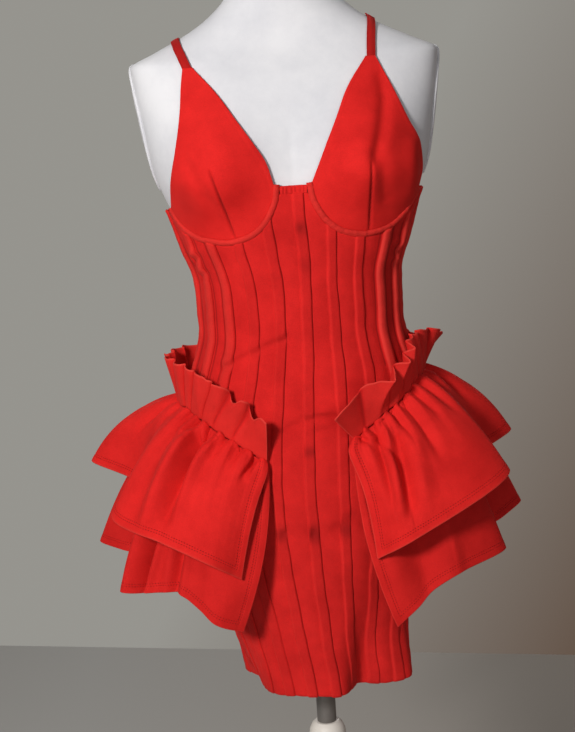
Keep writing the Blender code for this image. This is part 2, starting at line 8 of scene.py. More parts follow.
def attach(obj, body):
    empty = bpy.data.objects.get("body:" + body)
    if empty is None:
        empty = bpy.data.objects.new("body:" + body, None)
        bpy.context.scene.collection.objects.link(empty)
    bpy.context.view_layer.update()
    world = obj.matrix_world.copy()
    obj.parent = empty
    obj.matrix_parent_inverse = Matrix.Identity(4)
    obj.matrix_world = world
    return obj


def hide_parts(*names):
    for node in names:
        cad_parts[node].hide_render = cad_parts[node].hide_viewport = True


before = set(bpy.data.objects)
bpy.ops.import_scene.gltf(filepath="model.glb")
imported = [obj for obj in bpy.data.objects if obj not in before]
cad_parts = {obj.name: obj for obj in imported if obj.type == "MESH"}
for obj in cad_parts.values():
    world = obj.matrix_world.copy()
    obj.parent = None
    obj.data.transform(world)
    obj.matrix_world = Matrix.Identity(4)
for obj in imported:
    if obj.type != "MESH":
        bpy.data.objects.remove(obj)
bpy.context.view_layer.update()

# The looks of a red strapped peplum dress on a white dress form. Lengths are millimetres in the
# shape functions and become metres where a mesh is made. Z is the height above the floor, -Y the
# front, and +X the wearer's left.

MM = 0.001
BODY = "root"
SIDES = (("left", 1), ("right", -1))

# Sizes shared with the solids
HEM_HEIGHT = 585.0
PANEL_COUNT = 20
BAND_WIDTH = 12.0
WALL = 1.5
SIDE_SAG = 7.0
SEAM_GAP = 0.3
WIRE_WIDTH = 7.0
STRAP_WIDTH = 10.0
STRAP_THICKNESS = 1.6
STRAP_CLEARANCE = 1.3
STRAP_LIFT = 1.6
STRAP_LIFT_LENGTH = 22.0
BRIDGE_HEIGHT = 1196.0
BRIDGE_BINDING = 8.0
SIDE_TOP_HEIGHT = 1176.0
FORM_CLEARANCE = 4.0
FORM_BUST = 0.88
FORM_BOTTOM = 792.0
FORM_TOP = 1470.0
POLE_RADIUS = 12.0
COLUMN_TOP = 518.0
BASE_RADIUS = 190.0

# Rings of the worn dress and of the form above it: height, half width, front, back, power
RINGS = (
    (560, 100, 79, 83, 2.10), (640, 106, 85, 90, 2.10), (710, 121, 92, 99, 2.10),
    (785, 140, 98, 106, 2.10), (850, 147, 102, 112, 2.10), (905, 144, 101, 109, 2.10),
    (960, 135, 97, 99, 2.10), (1030, 118, 88, 85, 2.05), (1080, 119, 90, 84, 2.05),
    (1130, 134, 96, 88, 2.15), (1175, 147, 99, 93, 2.20), (1225, 164, 98, 96, 2.30),
    (1270, 173, 90, 96, 2.40), (1315, 179, 76, 88, 2.45), (1334, 180.5, 66, 78, 2.45),
    (1349, 152, 59, 68, 2.30), (1368, 113, 54, 61, 2.20), (1386, 86, 52, 57, 2.10),
    (1406, 67, 51, 55, 2.00), (1432, 58, 50, 53, 2.00), (1470, 56, 49, 52, 2.00),
)
BUST_OUT, BUST_X, BUST_HEIGHT = 33.0, 82.0, 1211.0
BUST_SPREAD_X, BUST_SPREAD_UP, BUST_SPREAD_DOWN = 47.0, 64.0, 41.0

# A cup's lower edge: distance from the centre front and height
WIRE_LINE = (
    (18, 1199), (20, 1184), (26, 1169), (36, 1154), (54, 1141), (78, 1135.5),
    (102, 1139), (121, 1151), (134, 1167), (140, 1181),
)
NECK_EDGE = {
    "left": ((18, 1199), (27, 1219), (38, 1243), (50, 1267), (65, 1297), (90, 1331)),
    "right": ((18, 1199), (25, 1223), (39, 1247), (56, 1272), (75, 1299), (103, 1331)),
}
ARM_EDGE = {
    "left": ((140, 1181), (145, 1203), (143, 1229), (131, 1260), (117, 1296), (101, 1331)),
    "right": ((140, 1181), (133, 1203), (124, 1238), (119, 1281), (117, 1308), (114, 1331)),
}
STRAP_PATH = {
    "left": ((96, 1329.9), (98, 1350), (101, 1374), (98, 1348), (88, 1250), (80, 1177.1)),
    "right": ((109.5, 1331.4), (117, 1348), (122, 1360.5), (112, 1338), (92, 1250), (83, 1177.1)),
}
# Turn of a band's middle on the front, next to an even spacing: height, turn
TWIST = (
    (560, 0.024), (605, 0.019), (650, 0.009), (700, 0.004), (750, -0.001), (850, -0.003),
    (905, 0.000), (960, 0.004), (1030, 0.010), (1090, 0.011), (1125, 0.009), (1190, 0.005),
    (1470, 0.005),
)
FRONT_PITCH = 0.048
FRONT_PANELS = 4
# Soft folds of the free skirt: turn, depth, spread, height where each starts
SKIRT_FOLDS = (
    (0.035, 6.0, 0.030, 720), (0.088, -25.0, 0.036, 770), (0.190, 11.0, 0.030, 720),
    (-0.205, -25.0, 0.060, 660), (-0.330, 7.0, 0.040, 740), (-0.405, -13.0, 0.045, 760),
    (0.345, -12.0, 0.050, 750), (0.450, 6.0, 0.040, 720),
)
# The peplum's seam: share, turn, height on the left, height on the right
PEPLUM_SEAM = (
    (0.00, 0.062, 904, 884), (0.14, 0.103, 924, 904), (0.30, 0.155, 944, 926),
    (0.45, 0.203, 959, 940), (0.58, 0.250, 959, 941), (0.78, 0.330, 951, 938),
    (1.00, 0.430, 947, 938),
)
# share, then how far the seam stands off, how far the header leans out and is drawn forward,
# on the left and on the right
PEPLUM_STAND = (
    (0.00, 7.8, 26, 28, 6.0, 24, 9), (0.08, 7.7, 14, 9, 6.0, 15, 12), (0.14, 7.7, 9, 5, 6.8, 10, 14),
    (0.30, 7.7, 4, 0, 9.0, 8, 14), (0.45, 8.0, -3, 0, 12.5, 11, 10), (0.54, 8.5, 2, 0, 14.5, 12, 6),
    (0.63, 11.0, 24, 0, 13.5, 14, 3), (0.74, 14.0, 37, 0, 12.5, 15, 0),
    (0.87, 9.0, 20, 0, 9.5, 12, 0), (1.00, 7.8, 10, 0, 6.2, 8, 0),
)
# Hem of each tier: share, outward from the axis, front-to-back place, height
HEMS = {
    "tier_upper_right": (
        (0.00, 89, -126, 754), (0.13, 126, -146, 782), (0.28, 178, -128, 805),
        (0.42, 236, -72, 824), (0.52, 206, -18, 842), (0.63, 268, 42, 862),
        (0.76, 214, 104, 858), (0.86, 160, 128, 838), (1.00, 84, 142, 812),
    ),
    "tier_upper_left": (
        (0.00, 69, -128, 768), (0.13, 108, -148, 793), (0.28, 166, -134, 820),
        (0.42, 230, -74, 847), (0.52, 206, -16, 852), (0.63, 250, 44, 866),
        (0.76, 208, 106, 858), (0.86, 158, 130, 842), (1.00, 86, 144, 818),
    ),
    "tier_lower_right": (
        (0.00, 92, -114, 686), (0.13, 122, -124, 700), (0.28, 168, -104, 736),
        (0.42, 230, -62, 727), (0.52, 196, -14, 742), (0.63, 266, 44, 757),
        (0.76, 204, 90, 752), (0.86, 150, 112, 738), (1.00, 88, 124, 716),
    ),
    "tier_lower_left": (
        (0.00, 89, -112, 680), (0.13, 116, -122, 706), (0.28, 160, -102, 734),
        (0.42, 224, -56, 747), (0.52, 194, -10, 744), (0.63, 258, 46, 772),
        (0.76, 202, 92, 756), (0.86, 150, 114, 740), (1.00, 90, 126, 720),
    ),
}
HEADER_HEIGHT = {"left": 49.0, "right": 57.0}
FRONT_PUFF = {"left": 10.0, "right": 4.0}
FRONT_PUFF_SHARE = 0.07
LOWER_FRONT_DRAW = 24.0
TUCKS = 12
TUCK_DEPTH = 3.0
TIER_THICKNESS = 1.6
UPPER_BULGE = 21.0
BULGE_FULLER = {"left": 0.45, "right": 0.85}
LOWER_BULGE = 8.0
LOWER_TIER_INSET = 2.0

# Folds and creases, seen from outside
# On the body: turn and height of both ends, depth, half width, lip above the valley
BODY_CREASES = (
    (-0.150, 985, -0.101, 1001, 2.6, 5.0, 0.9),
    (-0.106, 1000, -0.028, 1022, 2.4, 5.5, 0.9),
    (-0.034, 1020, -0.018, 1028, 1.2, 5.0, 0.7),
    (-0.012, 929, 0.050, 931, 2.2, 4.6, 0.9),
    (-0.036, 922, -0.004, 926, 1.4, 4.2, 0.6),
    (0.010, 915, 0.034, 918, 1.2, 4.0, 0.6),
    (-0.052, 794, -0.040, 792, 2.2, 7.5, 0.3),
    (-0.008, 794, 0.002, 793, 2.2, 7.5, 0.3),
    (0.031, 795, 0.041, 794, 2.2, 7.5, 0.3),
    (0.006, 1149, 0.013, 1148, 1.0, 4.0, 0.3),
    (-0.212, 1110, -0.176, 1120, 2.6, 5.0, 1.0),
    (-0.206, 1088, -0.170, 1100, 1.8, 5.0, 0.8),
    (0.172, 1114, 0.206, 1106, 2.4, 5.0, 1.0),
    (0.178, 1096, 0.210, 1090, 1.6, 5.0, 0.8),
    (0.010, 786, 0.062, 812, 0.6, 7.0, 0.5),
    (0.420, 1010, 0.470, 1022, 2.2, 5.5, 0.8),
    (-0.470, 1016, -0.418, 1004, 2.2, 5.5, 0.8),
    (0.460, 960, 0.505, 968, 1.6, 5.5, 0.8),
    (-0.440, 940, -0.395, 932, 1.8, 5.0, 0.8),
    (0.392, 936, 0.440, 944, 1.8, 5.0, 0.8),
)
# On a tier: share and way down of both ends, depth, half width in millimetres, and how much
# wider the fold is on its side further back
LOWER_BACK_FOLDS = (
    (0.560, 0.40, 0.560, 1.05, 5.0, 12.0, 1.0),
    (0.730, 0.40, 0.730, 1.05, 6.0, 12.0, 1.0),
    (0.880, 0.40, 0.880, 1.05, 5.0, 12.0, 1.0),
)
TIER_FOLDS = {
    "tier_upper_right": (
        (0.256, 0.00, 0.286, 0.42, 12.0, 6.0, 1.3),
        (0.330, 0.00, 0.352, 0.30, 5.0, 5.5, 1.0),
        (0.052, 0.01, 0.080, 0.30, 7.5, 4.2, 1.0),
        (0.125, 0.00, 0.140, 0.20, 3.5, 4.5, 1.0),
        (0.195, 0.00, 0.215, 0.26, 3.6, 5.0, 1.0),
        (0.385, 0.00, 0.372, 0.34, 4.0, 6.0, 1.0),
        (0.290, 0.18, 0.280, 0.88, 15.5, 6.5, 1.45),
        (0.335, 0.22, 0.325, 0.92, -7.0, 9.5, 1.0),
        (0.560, 0.00, 0.565, 0.60, 5.0, 7.0, 1.0),
        (0.660, 0.00, 0.655, 0.42, 4.5, 6.0, 1.0),
        (0.745, 0.00, 0.735, 0.55, 5.0, 7.0, 1.0),
        (0.830, 0.00, 0.820, 0.38, 4.5, 6.0, 1.0),
        (0.905, 0.00, 0.900, 0.50, 5.0, 6.0, 1.0),
        (0.962, 0.00, 0.958, 0.26, 3.5, 4.5, 1.0),
    ),
    "tier_upper_left": (
        (0.045, 0.01, 0.084, 0.24, 4.5, 4.0, 1.0),
        (0.092, 0.01, 0.150, 0.46, 9.5, 5.0, 1.0),
        (0.094, 0.18, 0.092, 0.72, 9.0, 5.5, 1.3),
        (0.166, 0.22, 0.146, 0.82, 11.0, 7.0, 1.6),
        (0.205, 0.00, 0.228, 0.40, 8.0, 6.0, 1.0),
        (0.262, 0.00, 0.282, 0.60, 9.0, 8.0, 1.0),
        (0.330, 0.00, 0.345, 0.34, 4.0, 5.5, 1.0),
        (0.400, 0.00, 0.400, 0.40, 4.0, 6.0, 1.0),
        (0.560, 0.00, 0.568, 0.60, 5.0, 7.0, 1.0),
        (0.640, 0.00, 0.640, 0.36, 4.5, 6.0, 1.0),
        (0.730, 0.00, 0.722, 0.60, 5.0, 7.0, 1.0),
        (0.815, 0.00, 0.810, 0.40, 4.5, 6.0, 1.0),
        (0.890, 0.00, 0.885, 0.52, 5.0, 6.0, 1.0),
        (0.955, 0.00, 0.950, 0.26, 3.5, 4.5, 1.0),
    ),
    "tier_lower_right": (
        (0.278, 0.40, 0.280, 1.05, 8.0, 6.0, 1.3),
        (0.355, 0.40, 0.358, 1.05, 14.0, 5.5, 1.4),
        (0.392, 0.40, 0.396, 1.05, -6.0, 8.0, 1.0),
        (0.170, 0.60, 0.180, 1.05, 3.0, 14.0, 1.0),
        *LOWER_BACK_FOLDS,
    ),
    "tier_lower_left": (
        (0.170, 0.45, 0.180, 1.02, 12.0, 27.0, 1.0),
        *LOWER_BACK_FOLDS,
    ),
}
# The headers' pleat folds: share of the seam at the seam and at the top, half width at the top,
# depth at the seam and at the top (below 0 outward), how far the cloth closes over the fold,
# how far it runs under, how far the top edge drops beside it
HEADER_FOLDS = {
    "right": (
        (0.165, 0.098, 6.5, 1.0, 10.5, 0.25, 4.0, 12.0), (0.260, 0.200, 6.5, 1.0, 10.5, 0.28, 4.0, 11.0),
        (0.325, 0.275, 3.6, 1.8, 5.5, 0.80, 3.8, 2.5), (0.400, 0.362, 3.8, 1.8, 5.0, 0.72, 3.4, 1.0),
        (0.448, 0.422, 4.4, 2.4, 8.0, 0.60, 2.6, 1.0), (0.515, 0.500, 7.0, 2.2, 9.0, 0.45, 1.6, 2.0),
        (0.585, 0.575, 5.0, 2.0, 6.5, 0.70, 2.6, 1.0), (0.655, 0.650, 6.6, 2.0, 8.5, 0.50, 2.0, 2.0),
        (0.730, 0.728, 4.8, 1.8, 6.0, 0.70, 2.8, 1.0), (0.800, 0.800, 6.4, 2.0, 8.0, 0.50, 2.0, 2.0),
        (0.868, 0.870, 4.6, 1.8, 6.0, 0.70, 2.6, 1.0), (0.940, 0.944, 5.4, 1.8, 7.5, 0.55, 2.0, 1.5),
    ),
    "left": (
        (0.062, 0.072, 9.0, 1.4, 9.0, 0.20, 0.0, 0.0), (0.140, 0.183, 11.0, -1.0, -19.0, 0.48, 0.0, 8.0),
        (0.196, 0.232, 6.5, 1.4, 6.0, 0.60, -1.5, 0.0), (0.240, 0.272, 7.0, -1.0, -14.0, 0.66, 0.0, 4.0),
        (0.285, 0.308, 6.0, 1.4, 7.0, 0.65, -1.5, 0.0), (0.322, 0.344, 6.0, -1.0, -9.0, 0.60, 0.0, 2.0),
        (0.362, 0.376, 5.6, 2.4, 7.5, 0.65, -1.0, 0.0), (0.436, 0.442, 5.6, 2.2, 8.0, 0.60, 0.0, 1.0),
        (0.512, 0.514, 7.0, 2.0, 8.5, 0.45, 0.0, 1.5), (0.590, 0.588, 5.4, 1.8, 6.5, 0.65, 1.5, 1.0),
        (0.662, 0.658, 6.6, 2.0, 8.0, 0.50, 1.5, 2.0), (0.735, 0.730, 4.8, 1.8, 6.0, 0.70, 2.2, 1.0),
        (0.805, 0.800, 6.4, 2.0, 8.0, 0.50, 1.5, 2.0), (0.872, 0.868, 4.8, 1.8, 6.0, 0.70, 2.0, 1.0),
        (0.942, 0.940, 5.4, 1.8, 7.5, 0.55, 1.5, 1.5),
    ),
}
# On a cup: distance aside (towards the wearer's left) and height of both ends, depth, half width
CUP_CREASES = {
    "left": (
        (88, 1217, 83, 1138, 3.2, 1.4), (104, 1314, 108, 1280, 3.0, 7.0),
        (108, 1282, 102, 1250, 4.6, 8.0), (102, 1252, 91, 1216, 5.2, 7.5),
        (100, 1228, 104, 1168, 5.5, 10.0), (135, 1240, 131, 1168, -6.5, 10.0),
        (60, 1205, 58, 1165, 1.2, 9.0),
    ),
    "right": (
        (-91, 1221, -68, 1139, 3.5, 1.4), (-121, 1238, -108, 1212, 2.2, 6.5),
        (-109, 1214, -93, 1180, 2.9, 7.0), (-93, 1182, -88, 1160, 1.6, 7.0),
        (-60, 1192, -50, 1160, 1.2, 9.0),
    ),
}

# Mesh densities
RING_SAMPLES = 720
TABLE_TURNS = 1440
TABLE_STEP = 2.0
TABLE_HEIGHTS = np.arange(560.0, FORM_TOP + 1, TABLE_STEP)
PANEL_ROWS = 176
TIER_COLUMNS = 276
TIER_ROWS = 60
HEADER_COLUMNS = 460
HEADER_ROWS = 16
CUP_COLUMNS = 112
CUP_ROWS = 96
FORM_TURNS = 300


def smooth_column(rows, column, at):
    """A column of a table against its first one, as a cubic that never overshoots its rows."""
    table = np.array(rows, float)
    x, y = table[:, 0], table[:, column]
    step = np.diff(x)
    rise = np.diff(y) / step
    slope = np.zeros(len(x))
    slope[0], slope[-1] = rise[0], rise[-1]
    same_way = rise[:-1] * rise[1:] > 0
    weight_a = 2 * step[1:] + step[:-1]
    weight_b = step[1:] + 2 * step[:-1]
    with np.errstate(divide="ignore", invalid="ignore"):
        mean = (weight_a + weight_b) / (weight_a / rise[:-1] + weight_b / rise[1:])
    slope[1:-1] = np.where(same_way, mean, 0.0)
    at = np.clip(np.asarray(at, float), x[0], x[-1])
    i = np.clip(np.searchsorted(x, at, side="right") - 1, 0, len(x) - 2)
    t = (at - x[i]) / step[i]
    return (
        (2 * t**3 - 3 * t**2 + 1) * y[i]
        + (t**3 - 2 * t**2 + t) * step[i] * slope[i]
        + (3 * t**2 - 2 * t**3) * y[i + 1]
        + (t**3 - t**2) * step[i] * slope[i + 1]
    )


def way_along(line):
    """The way to each point of a line from its first one. A grid gives one for each column."""
    steps = np.linalg.norm(np.diff(line, axis=0), axis=-1)
    return np.concatenate([np.zeros((1, *steps.shape[1:])), np.cumsum(steps, axis=0)])


def at_each(wanted, known, points):
    return np.column_stack([np.interp(wanted, known, points[:, k]) for k in range(points.shape[1])])


def unit(ways):
    return ways / np.linalg.norm(ways, axis=-1, keepdims=True)


def path_through(points, count):
    """Evenly spaced points on a smooth curve through the given ones."""
    points = np.array(points, float)
    along = way_along(points)
    rows = np.column_stack([along, points])
    fine = np.linspace(0, along[-1], 400)
    curve = np.column_stack([smooth_column(rows, k + 1, fine) for k in range(points.shape[1])])
    length = way_along(curve)
    return at_each(np.linspace(0, length[-1], count), length, curve)


def ring(height, inward=0.0):
    """The ring at a height as a closed line of points that starts at the centre front."""
    half, front, back, power = (float(smooth_column(RINGS, k, height)) for k in range(1, 5))
    half, front, back = half - inward, front - inward, back - inward
    angle = np.linspace(0, 2 * math.pi, RING_SAMPLES + 1)
    s, c = np.sin(angle), np.cos(angle)
    x = half * np.sign(s) * np.abs(s) ** (2 / power)
    depth = np.where(c > 0, front, back)
    y = -depth * np.sign(c) * np.abs(c) ** (2 / power)
    return x, y


def ring_table(inward):
    rows, girths = [], []
    shift = TABLE_TURNS * 3 // RING_SAMPLES
    for height in TABLE_HEIGHTS:
        x, y = ring(height, inward)
        along = np.concatenate([[0], np.cumsum(np.hypot(np.diff(x), np.diff(y)))])
        even = np.arange(TABLE_TURNS) / TABLE_TURNS * along[-1]
        px, py = np.interp(even, along, x), np.interp(even, along, y)
        tx = np.roll(px, -shift) - np.roll(px, shift)
        ty = np.roll(py, -shift) - np.roll(py, shift)
        length = np.hypot(tx, ty)
        rows.append(np.column_stack([px, py, ty / length, -tx / length]))
        girths.append(along[-1])
    return np.array(rows), np.array(girths)


DRESS_TABLE, GIRTHS = ring_table(0.0)
FORM_TABLE, _ = ring_table(FORM_CLEARANCE)


def from_front(turn):
    """A turn counted from the centre front, half a turn at most to either side."""
    return (turn + 0.5) % 1.0 - 0.5


def girth(height):
    return np.interp(height, TABLE_HEIGHTS, GIRTHS)


def look_up(table, turn, height):
    turn, height = np.broadcast_arrays(np.asarray(turn, float), np.asarray(height, float))
    column = (turn % 1.0) * TABLE_TURNS
    row = np.clip((height - TABLE_HEIGHTS[0]) / TABLE_STEP, 0, len(TABLE_HEIGHTS) - 1.0001)
    c, r = np.floor(column).astype(int), np.floor(row).astype(int)
    fc, fr = (column - c)[..., None], (row - r)[..., None]
    c, c2 = c % TABLE_TURNS, (c + 1) % TABLE_TURNS
    low = table[r, c] * (1 - fc) + table[r, c2] * fc
    high = table[r + 1, c] * (1 - fc) + table[r + 1, c2] * fc
    return low * (1 - fr) + high * fr


def bust(x, height):
    """How far the bust stands out of the ring at a place on its front."""
    spread = np.where(height > BUST_HEIGHT, BUST_SPREAD_UP, BUST_SPREAD_DOWN)
    across = (np.abs(x) - BUST_X) / BUST_SPREAD_X
    return BUST_OUT * np.exp(-(across**2) - ((height - BUST_HEIGHT) / spread) ** 2)


def bell(away, width):
    """1 where away is 0, and falling off smoothly to both sides."""
    return np.exp(-((away / width) ** 2))


def skirt_fold(turn, height):
    """How far the free skirt's folds move it out."""
    out = 0.0
    for at, depth, spread, starts in SKIRT_FOLDS:
        down = np.clip((starts - height) / (starts - HEM_HEIGHT), 0, 1)
        away = from_front(turn - at)
        out = out + depth * down**1.6 * bell(away, spread)
    return out


def ease(x, start, end):
    """Goes smoothly from 0 at the start to 1 at the end."""
    t = np.clip((x - start) / (end - start), 0.0, 1.0)
    return t * t * (3 - 2 * t)


SAG_STARTS, SAG_ENDS = (0.13, 0.20), (0.30, 0.40)
SAG_LOW, SAG_HIGH = (1080, 1165), (1210, 1275)


def side_sag(turn, height):
    """How far the top edge has slipped down at the side on the wearer's right."""
    away = -from_front(turn)
    aside = ease(away, *SAG_STARTS) * (1 - ease(away, *SAG_ENDS))
    return SIDE_SAG * aside * ease(height, *SAG_LOW) * (1 - ease(height, *SAG_HIGH))


def surface(turn, height, out=0.0, table=None, bust_share=1.0):
    """Points of the worn surface. Turn goes evenly round the ring, from 0 at the centre front."""
    turn, height, out = np.broadcast_arrays(
        np.asarray(turn, float), np.asarray(height, float), np.asarray(out, float)
    )
    if table is None:
        height = height - side_sag(turn, height)
    at = look_up(DRESS_TABLE if table is None else table, turn, height)
    x, y, nx, ny = (at[..., k] for k in range(4))
    far = out + bust_share * np.where(y < 0, bust(x, height), 0.0)
    far = far + np.where(height < FORM_BOTTOM - 10, skirt_fold(turn, height), 0.0)
    return np.stack([x + nx * far, y + ny * far, height], axis=-1)


def seam_turn(k, height):
    """The turn of the middle of the k-th band at a height."""
    k = (k + PANEL_COUNT // 2) % PANEL_COUNT - PANEL_COUNT // 2
    back_pitch = (0.5 - FRONT_PANELS * FRONT_PITCH) / (PANEL_COUNT // 2 - FRONT_PANELS)
    even = min(abs(k), FRONT_PANELS) * FRONT_PITCH + max(abs(k) - FRONT_PANELS, 0) * back_pitch
    return math.copysign(even, k) + smooth_column(TWIST, 1, height)


def turn_of(x, height):
    """The turn at which the ring at this height, bust left out, is x from the centre front."""
    rx, ry = ring(height)
    quarter = RING_SAMPLES // 4
    along = np.concatenate([[0], np.cumsum(np.hypot(np.diff(rx), np.diff(ry)))])
    way = float(np.interp(abs(x), rx[: quarter + 1], along[: quarter + 1]))
    return math.copysign(way / along[-1], x)


def ripple(at, seed):
    """A smooth irregular wave of about unit size, the same on each run."""
    at = np.asarray(at, float)
    total = 0.0
    for i, pace in enumerate((1.0, 1.73, 2.91)):
        total = total + np.sin(pace * at + 2.4 * seed * (i + 1) + 1.3 * i) / (1 + 0.5 * i)
    return total / 1.6


def stroke(u, v, ends, half_width, fade="both"):
    """How strongly a fold drawn from one end to the other is felt at a place, and on which side of it."""
    u0, v0, u1, v1 = ends
    du, dv = u1 - u0, v1 - v0
    length = np.hypot(du, dv)
    along = ((u - u0) * du + (v - v0) * dv) / length**2
    aside = ((u - u0) * dv - (v - v0) * du) / length
    inside = np.clip(along, 0, 1)
    beyond = (along - inside) * length
    near = np.exp(-(aside**2 + beyond**2) / half_width**2)
    if fade == "both":
        strength = 0.35 + 0.65 * np.sqrt(np.clip(4 * inside * (1 - inside), 0, 1))
    else:
        strength = (1 - inside) ** 0.7 * 0.9 + 0.1
    return near * strength, aside


CREASE_BOLDNESS = 1.6
# The lip over a crease: share of its depth, and distance and width against the crease's half width
LIP_SHARE, LIP_AWAY, LIP_WIDTH = 0.6, 1.5, 1.2
DIMPLE, FREE_WAVE, FREE_LENGTH = 0.35, 1.2, 120.0


def body_relief(turn, height):
    """How far creases of the close-fitting body move it out, in millimetres."""
    turn = from_front(turn)
    s = turn * girth(height)
    out = np.zeros(np.broadcast(turn, height).shape)
    for t0, z0, t1, z1, depth, half_width, lip in BODY_CREASES:
        middle = (t0 + t1) / 2
        near_turn = turn + np.round(middle - turn)
        u = near_turn * girth(height)
        ends = (t0 * float(girth(z0)), z0, t1 * float(girth(z1)), z1)
        felt, aside = stroke(u, height, ends, half_width)
        ridge, _ = stroke(u, height - half_width * LIP_AWAY, ends, half_width * LIP_WIDTH)
        out = out + CREASE_BOLDNESS * depth * (LIP_SHARE * lip * ridge - felt)
    out = out + DIMPLE * ripple(height / 19.0 + s / 31.0, 1) * ripple(s / 23.0, 2)
    free = np.clip((FORM_BOTTOM - height) / FREE_LENGTH, 0, 1)
    return out + free * FREE_WAVE * ripple(s / 16.0 + height / 90.0, 3)


def mesh_piece(name, points, faces, uvs, material, tone=None):
    """One smooth mesh object from points in millimetres, its faces turned outward."""
    mesh = bpy.data.meshes.new(name)
    mesh.from_pydata((np.asarray(points) * MM).tolist(), [], faces)
    corners = np.asarray(points)
    mesh.calc_loop_triangles()
    triangles = np.empty(len(mesh.loop_triangles) * 3, np.int32)
    mesh.loop_triangles.foreach_get("vertices", triangles)
    t = corners[triangles.reshape(-1, 3)]
    if np.einsum("ij,ij->", t[:, 0], np.cross(t[:, 1], t[:, 2])) < 0:
        mesh.flip_normals()
    if uvs is not None:
        layer = mesh.uv_layers.new(name="cloth")
        loops = np.empty(len(mesh.loops), np.int32)
        mesh.loops.foreach_get("vertex_index", loops)
        layer.data.foreach_set("uv", (np.asarray(uvs) * MM)[loops].astype(np.float32).ravel())
    if tone is not None:
        tones = mesh.attributes.new("tone", "FLOAT", "POINT")
        tones.data.foreach_set("value", np.asarray(tone, np.float32))
    mesh.shade_smooth()
    mesh.materials.append(material)
    obj = bpy.data.objects.new(name, mesh)
    bpy.context.scene.collection.objects.link(obj)
    return obj


def grid_faces(rows, columns, start=0, flip=False):
    r, c = np.meshgrid(np.arange(rows - 1), np.arange(columns - 1), indexing="ij")
    a = (start + r * columns + c).ravel()
    quads = np.column_stack([a, a + 1, a + 1 + columns, a + columns])
    return quads[:, ::-1] if flip else quads


# How far a rounded edge of cloth stands out, as a share of the cloth's thickness
EDGE_ROUND = 0.42


def cloth_shell(name, outer, inner, uv, material, round_edges=(True, True, True, True), tone=None):
    """Closes the two faces of a cloth into one shell whose edges are rounded where asked:
    first row, last column, last row, first column."""
    rows, columns = outer.shape[:2]
    count = rows * columns
    index = np.arange(count).reshape(rows, columns)
    rim = np.concatenate([index[0, :-1], index[:-1, -1], index[-1, :0:-1], index[:0:-1, 0]])
    inside = np.concatenate([index[1, :-1], index[:-1, -2], index[-2, :0:-1], index[:0:-1, 1]])
    side = np.concatenate(
        [np.full(columns - 1, 0), np.full(rows - 1, 1), np.full(columns - 1, 2), np.full(rows - 1, 3)]
    )
    flat_outer, flat_inner, flat_uv = outer.reshape(-1, 3), inner.reshape(-1, 3), uv.reshape(-1, 2)
    middle = (flat_outer + flat_inner) / 2
    way = middle[rim] - middle[inside]
    way /= np.maximum(np.linalg.norm(way, axis=1, keepdims=True), 1e-9)
    thick = np.linalg.norm(flat_outer[rim] - flat_inner[rim], axis=1, keepdims=True)
    push = np.array(round_edges, float)[side][:, None]
    edge = middle[rim] + way * thick * EDGE_ROUND * push
    points = np.concatenate([flat_outer, flat_inner, edge])
    uvs = np.concatenate([flat_uv, flat_uv, flat_uv[rim]])
    faces = [grid_faces(rows, columns), grid_faces(rows, columns, count, True)]
    number = np.arange(len(rim))
    after = (number + 1) % len(rim)
    a, b = rim, rim[after]
    m, n = 2 * count + number, 2 * count + after
    faces.append(np.column_stack([b, a, m, n]))
    faces.append(np.column_stack([n, m, count + a, count + b]))
    if tone is not None:
        tone = np.broadcast_to(tone, (rows, columns)).ravel()
        tone = np.concatenate([tone, tone, tone[rim]])
    return mesh_piece(name, points, np.concatenate(faces).tolist(), uvs, material, tone)


def normals_of(grid):
    across = np.gradient(grid, axis=1)
    up = np.gradient(grid, axis=0)
    normal = np.cross(across, up)
    return normal / np.maximum(np.linalg.norm(normal, axis=2, keepdims=True), 1e-9)


def uv_of(grid):
    """Flat places of a grid's points: the way along its rows and up its columns, in millimetres."""
    along_middle = way_along(grid[grid.shape[0] // 2])
    return np.stack([np.broadcast_to(along_middle, grid.shape[:2]), way_along(grid)], axis=-1)


def settle(obj, slot, *nodes):
    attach(obj, BODY)
    if nodes:
        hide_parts(*nodes)
    return obj


# Materials
# A shader input takes a constant or the output socket that feeds it, and each helper gives the
# output socket of the node that it adds.
def fill(tree, shader_node, inputs):
    for key, value in inputs.items():
        if isinstance(value, bpy.types.NodeSocket):
            tree.links.new(value, shader_node.inputs[key])
        else:
            shader_node.inputs[key].default_value = value


def node(tree, kind, output, inputs, **settings):
    made = tree.nodes.new(kind)
    for key, value in settings.items():
        setattr(made, key, value)
    fill(tree, made, inputs)
    return made.outputs[output]


def calculated(tree, operation, *terms):
    return node(tree, "ShaderNodeMath", 0, dict(enumerate(terms)), operation=operation)


def noise(tree, where, scale, detail, roughness):
    inputs = {"Vector": where, "Scale": scale, "Detail": detail, "Roughness": roughness}
    return node(tree, "ShaderNodeTexNoise", "Fac", inputs)


def span(tree, value, from_range, to_range=(0.0, 1.0), smooth="LINEAR"):
    inputs = {
        "Value": value,
        "From Min": from_range[0],
        "From Max": from_range[1],
        "To Min": to_range[0],
        "To Max": to_range[1],
    }
    return node(tree, "ShaderNodeMapRange", 0, inputs, interpolation_type=smooth)


def mixed(tree, factor, *colours):
    """Two colours mixed: at factor 0 the first, at 1 the second."""
    a, b = (c if isinstance(c, bpy.types.NodeSocket) else (*c, 1.0) for c in colours)
    return node(tree, "ShaderNodeMix", "Result", {"Factor": factor, "A": a, "B": b}, data_type="RGBA")


def bumped(tree, height, strength, distance):
    inputs = {"Height": height, "Strength": strength, "Distance": distance}
    return node(tree, "ShaderNodeBump", "Normal", inputs)


def place_in(tree, kind="Object"):
    return node(tree, "ShaderNodeTexCoord", kind, {})


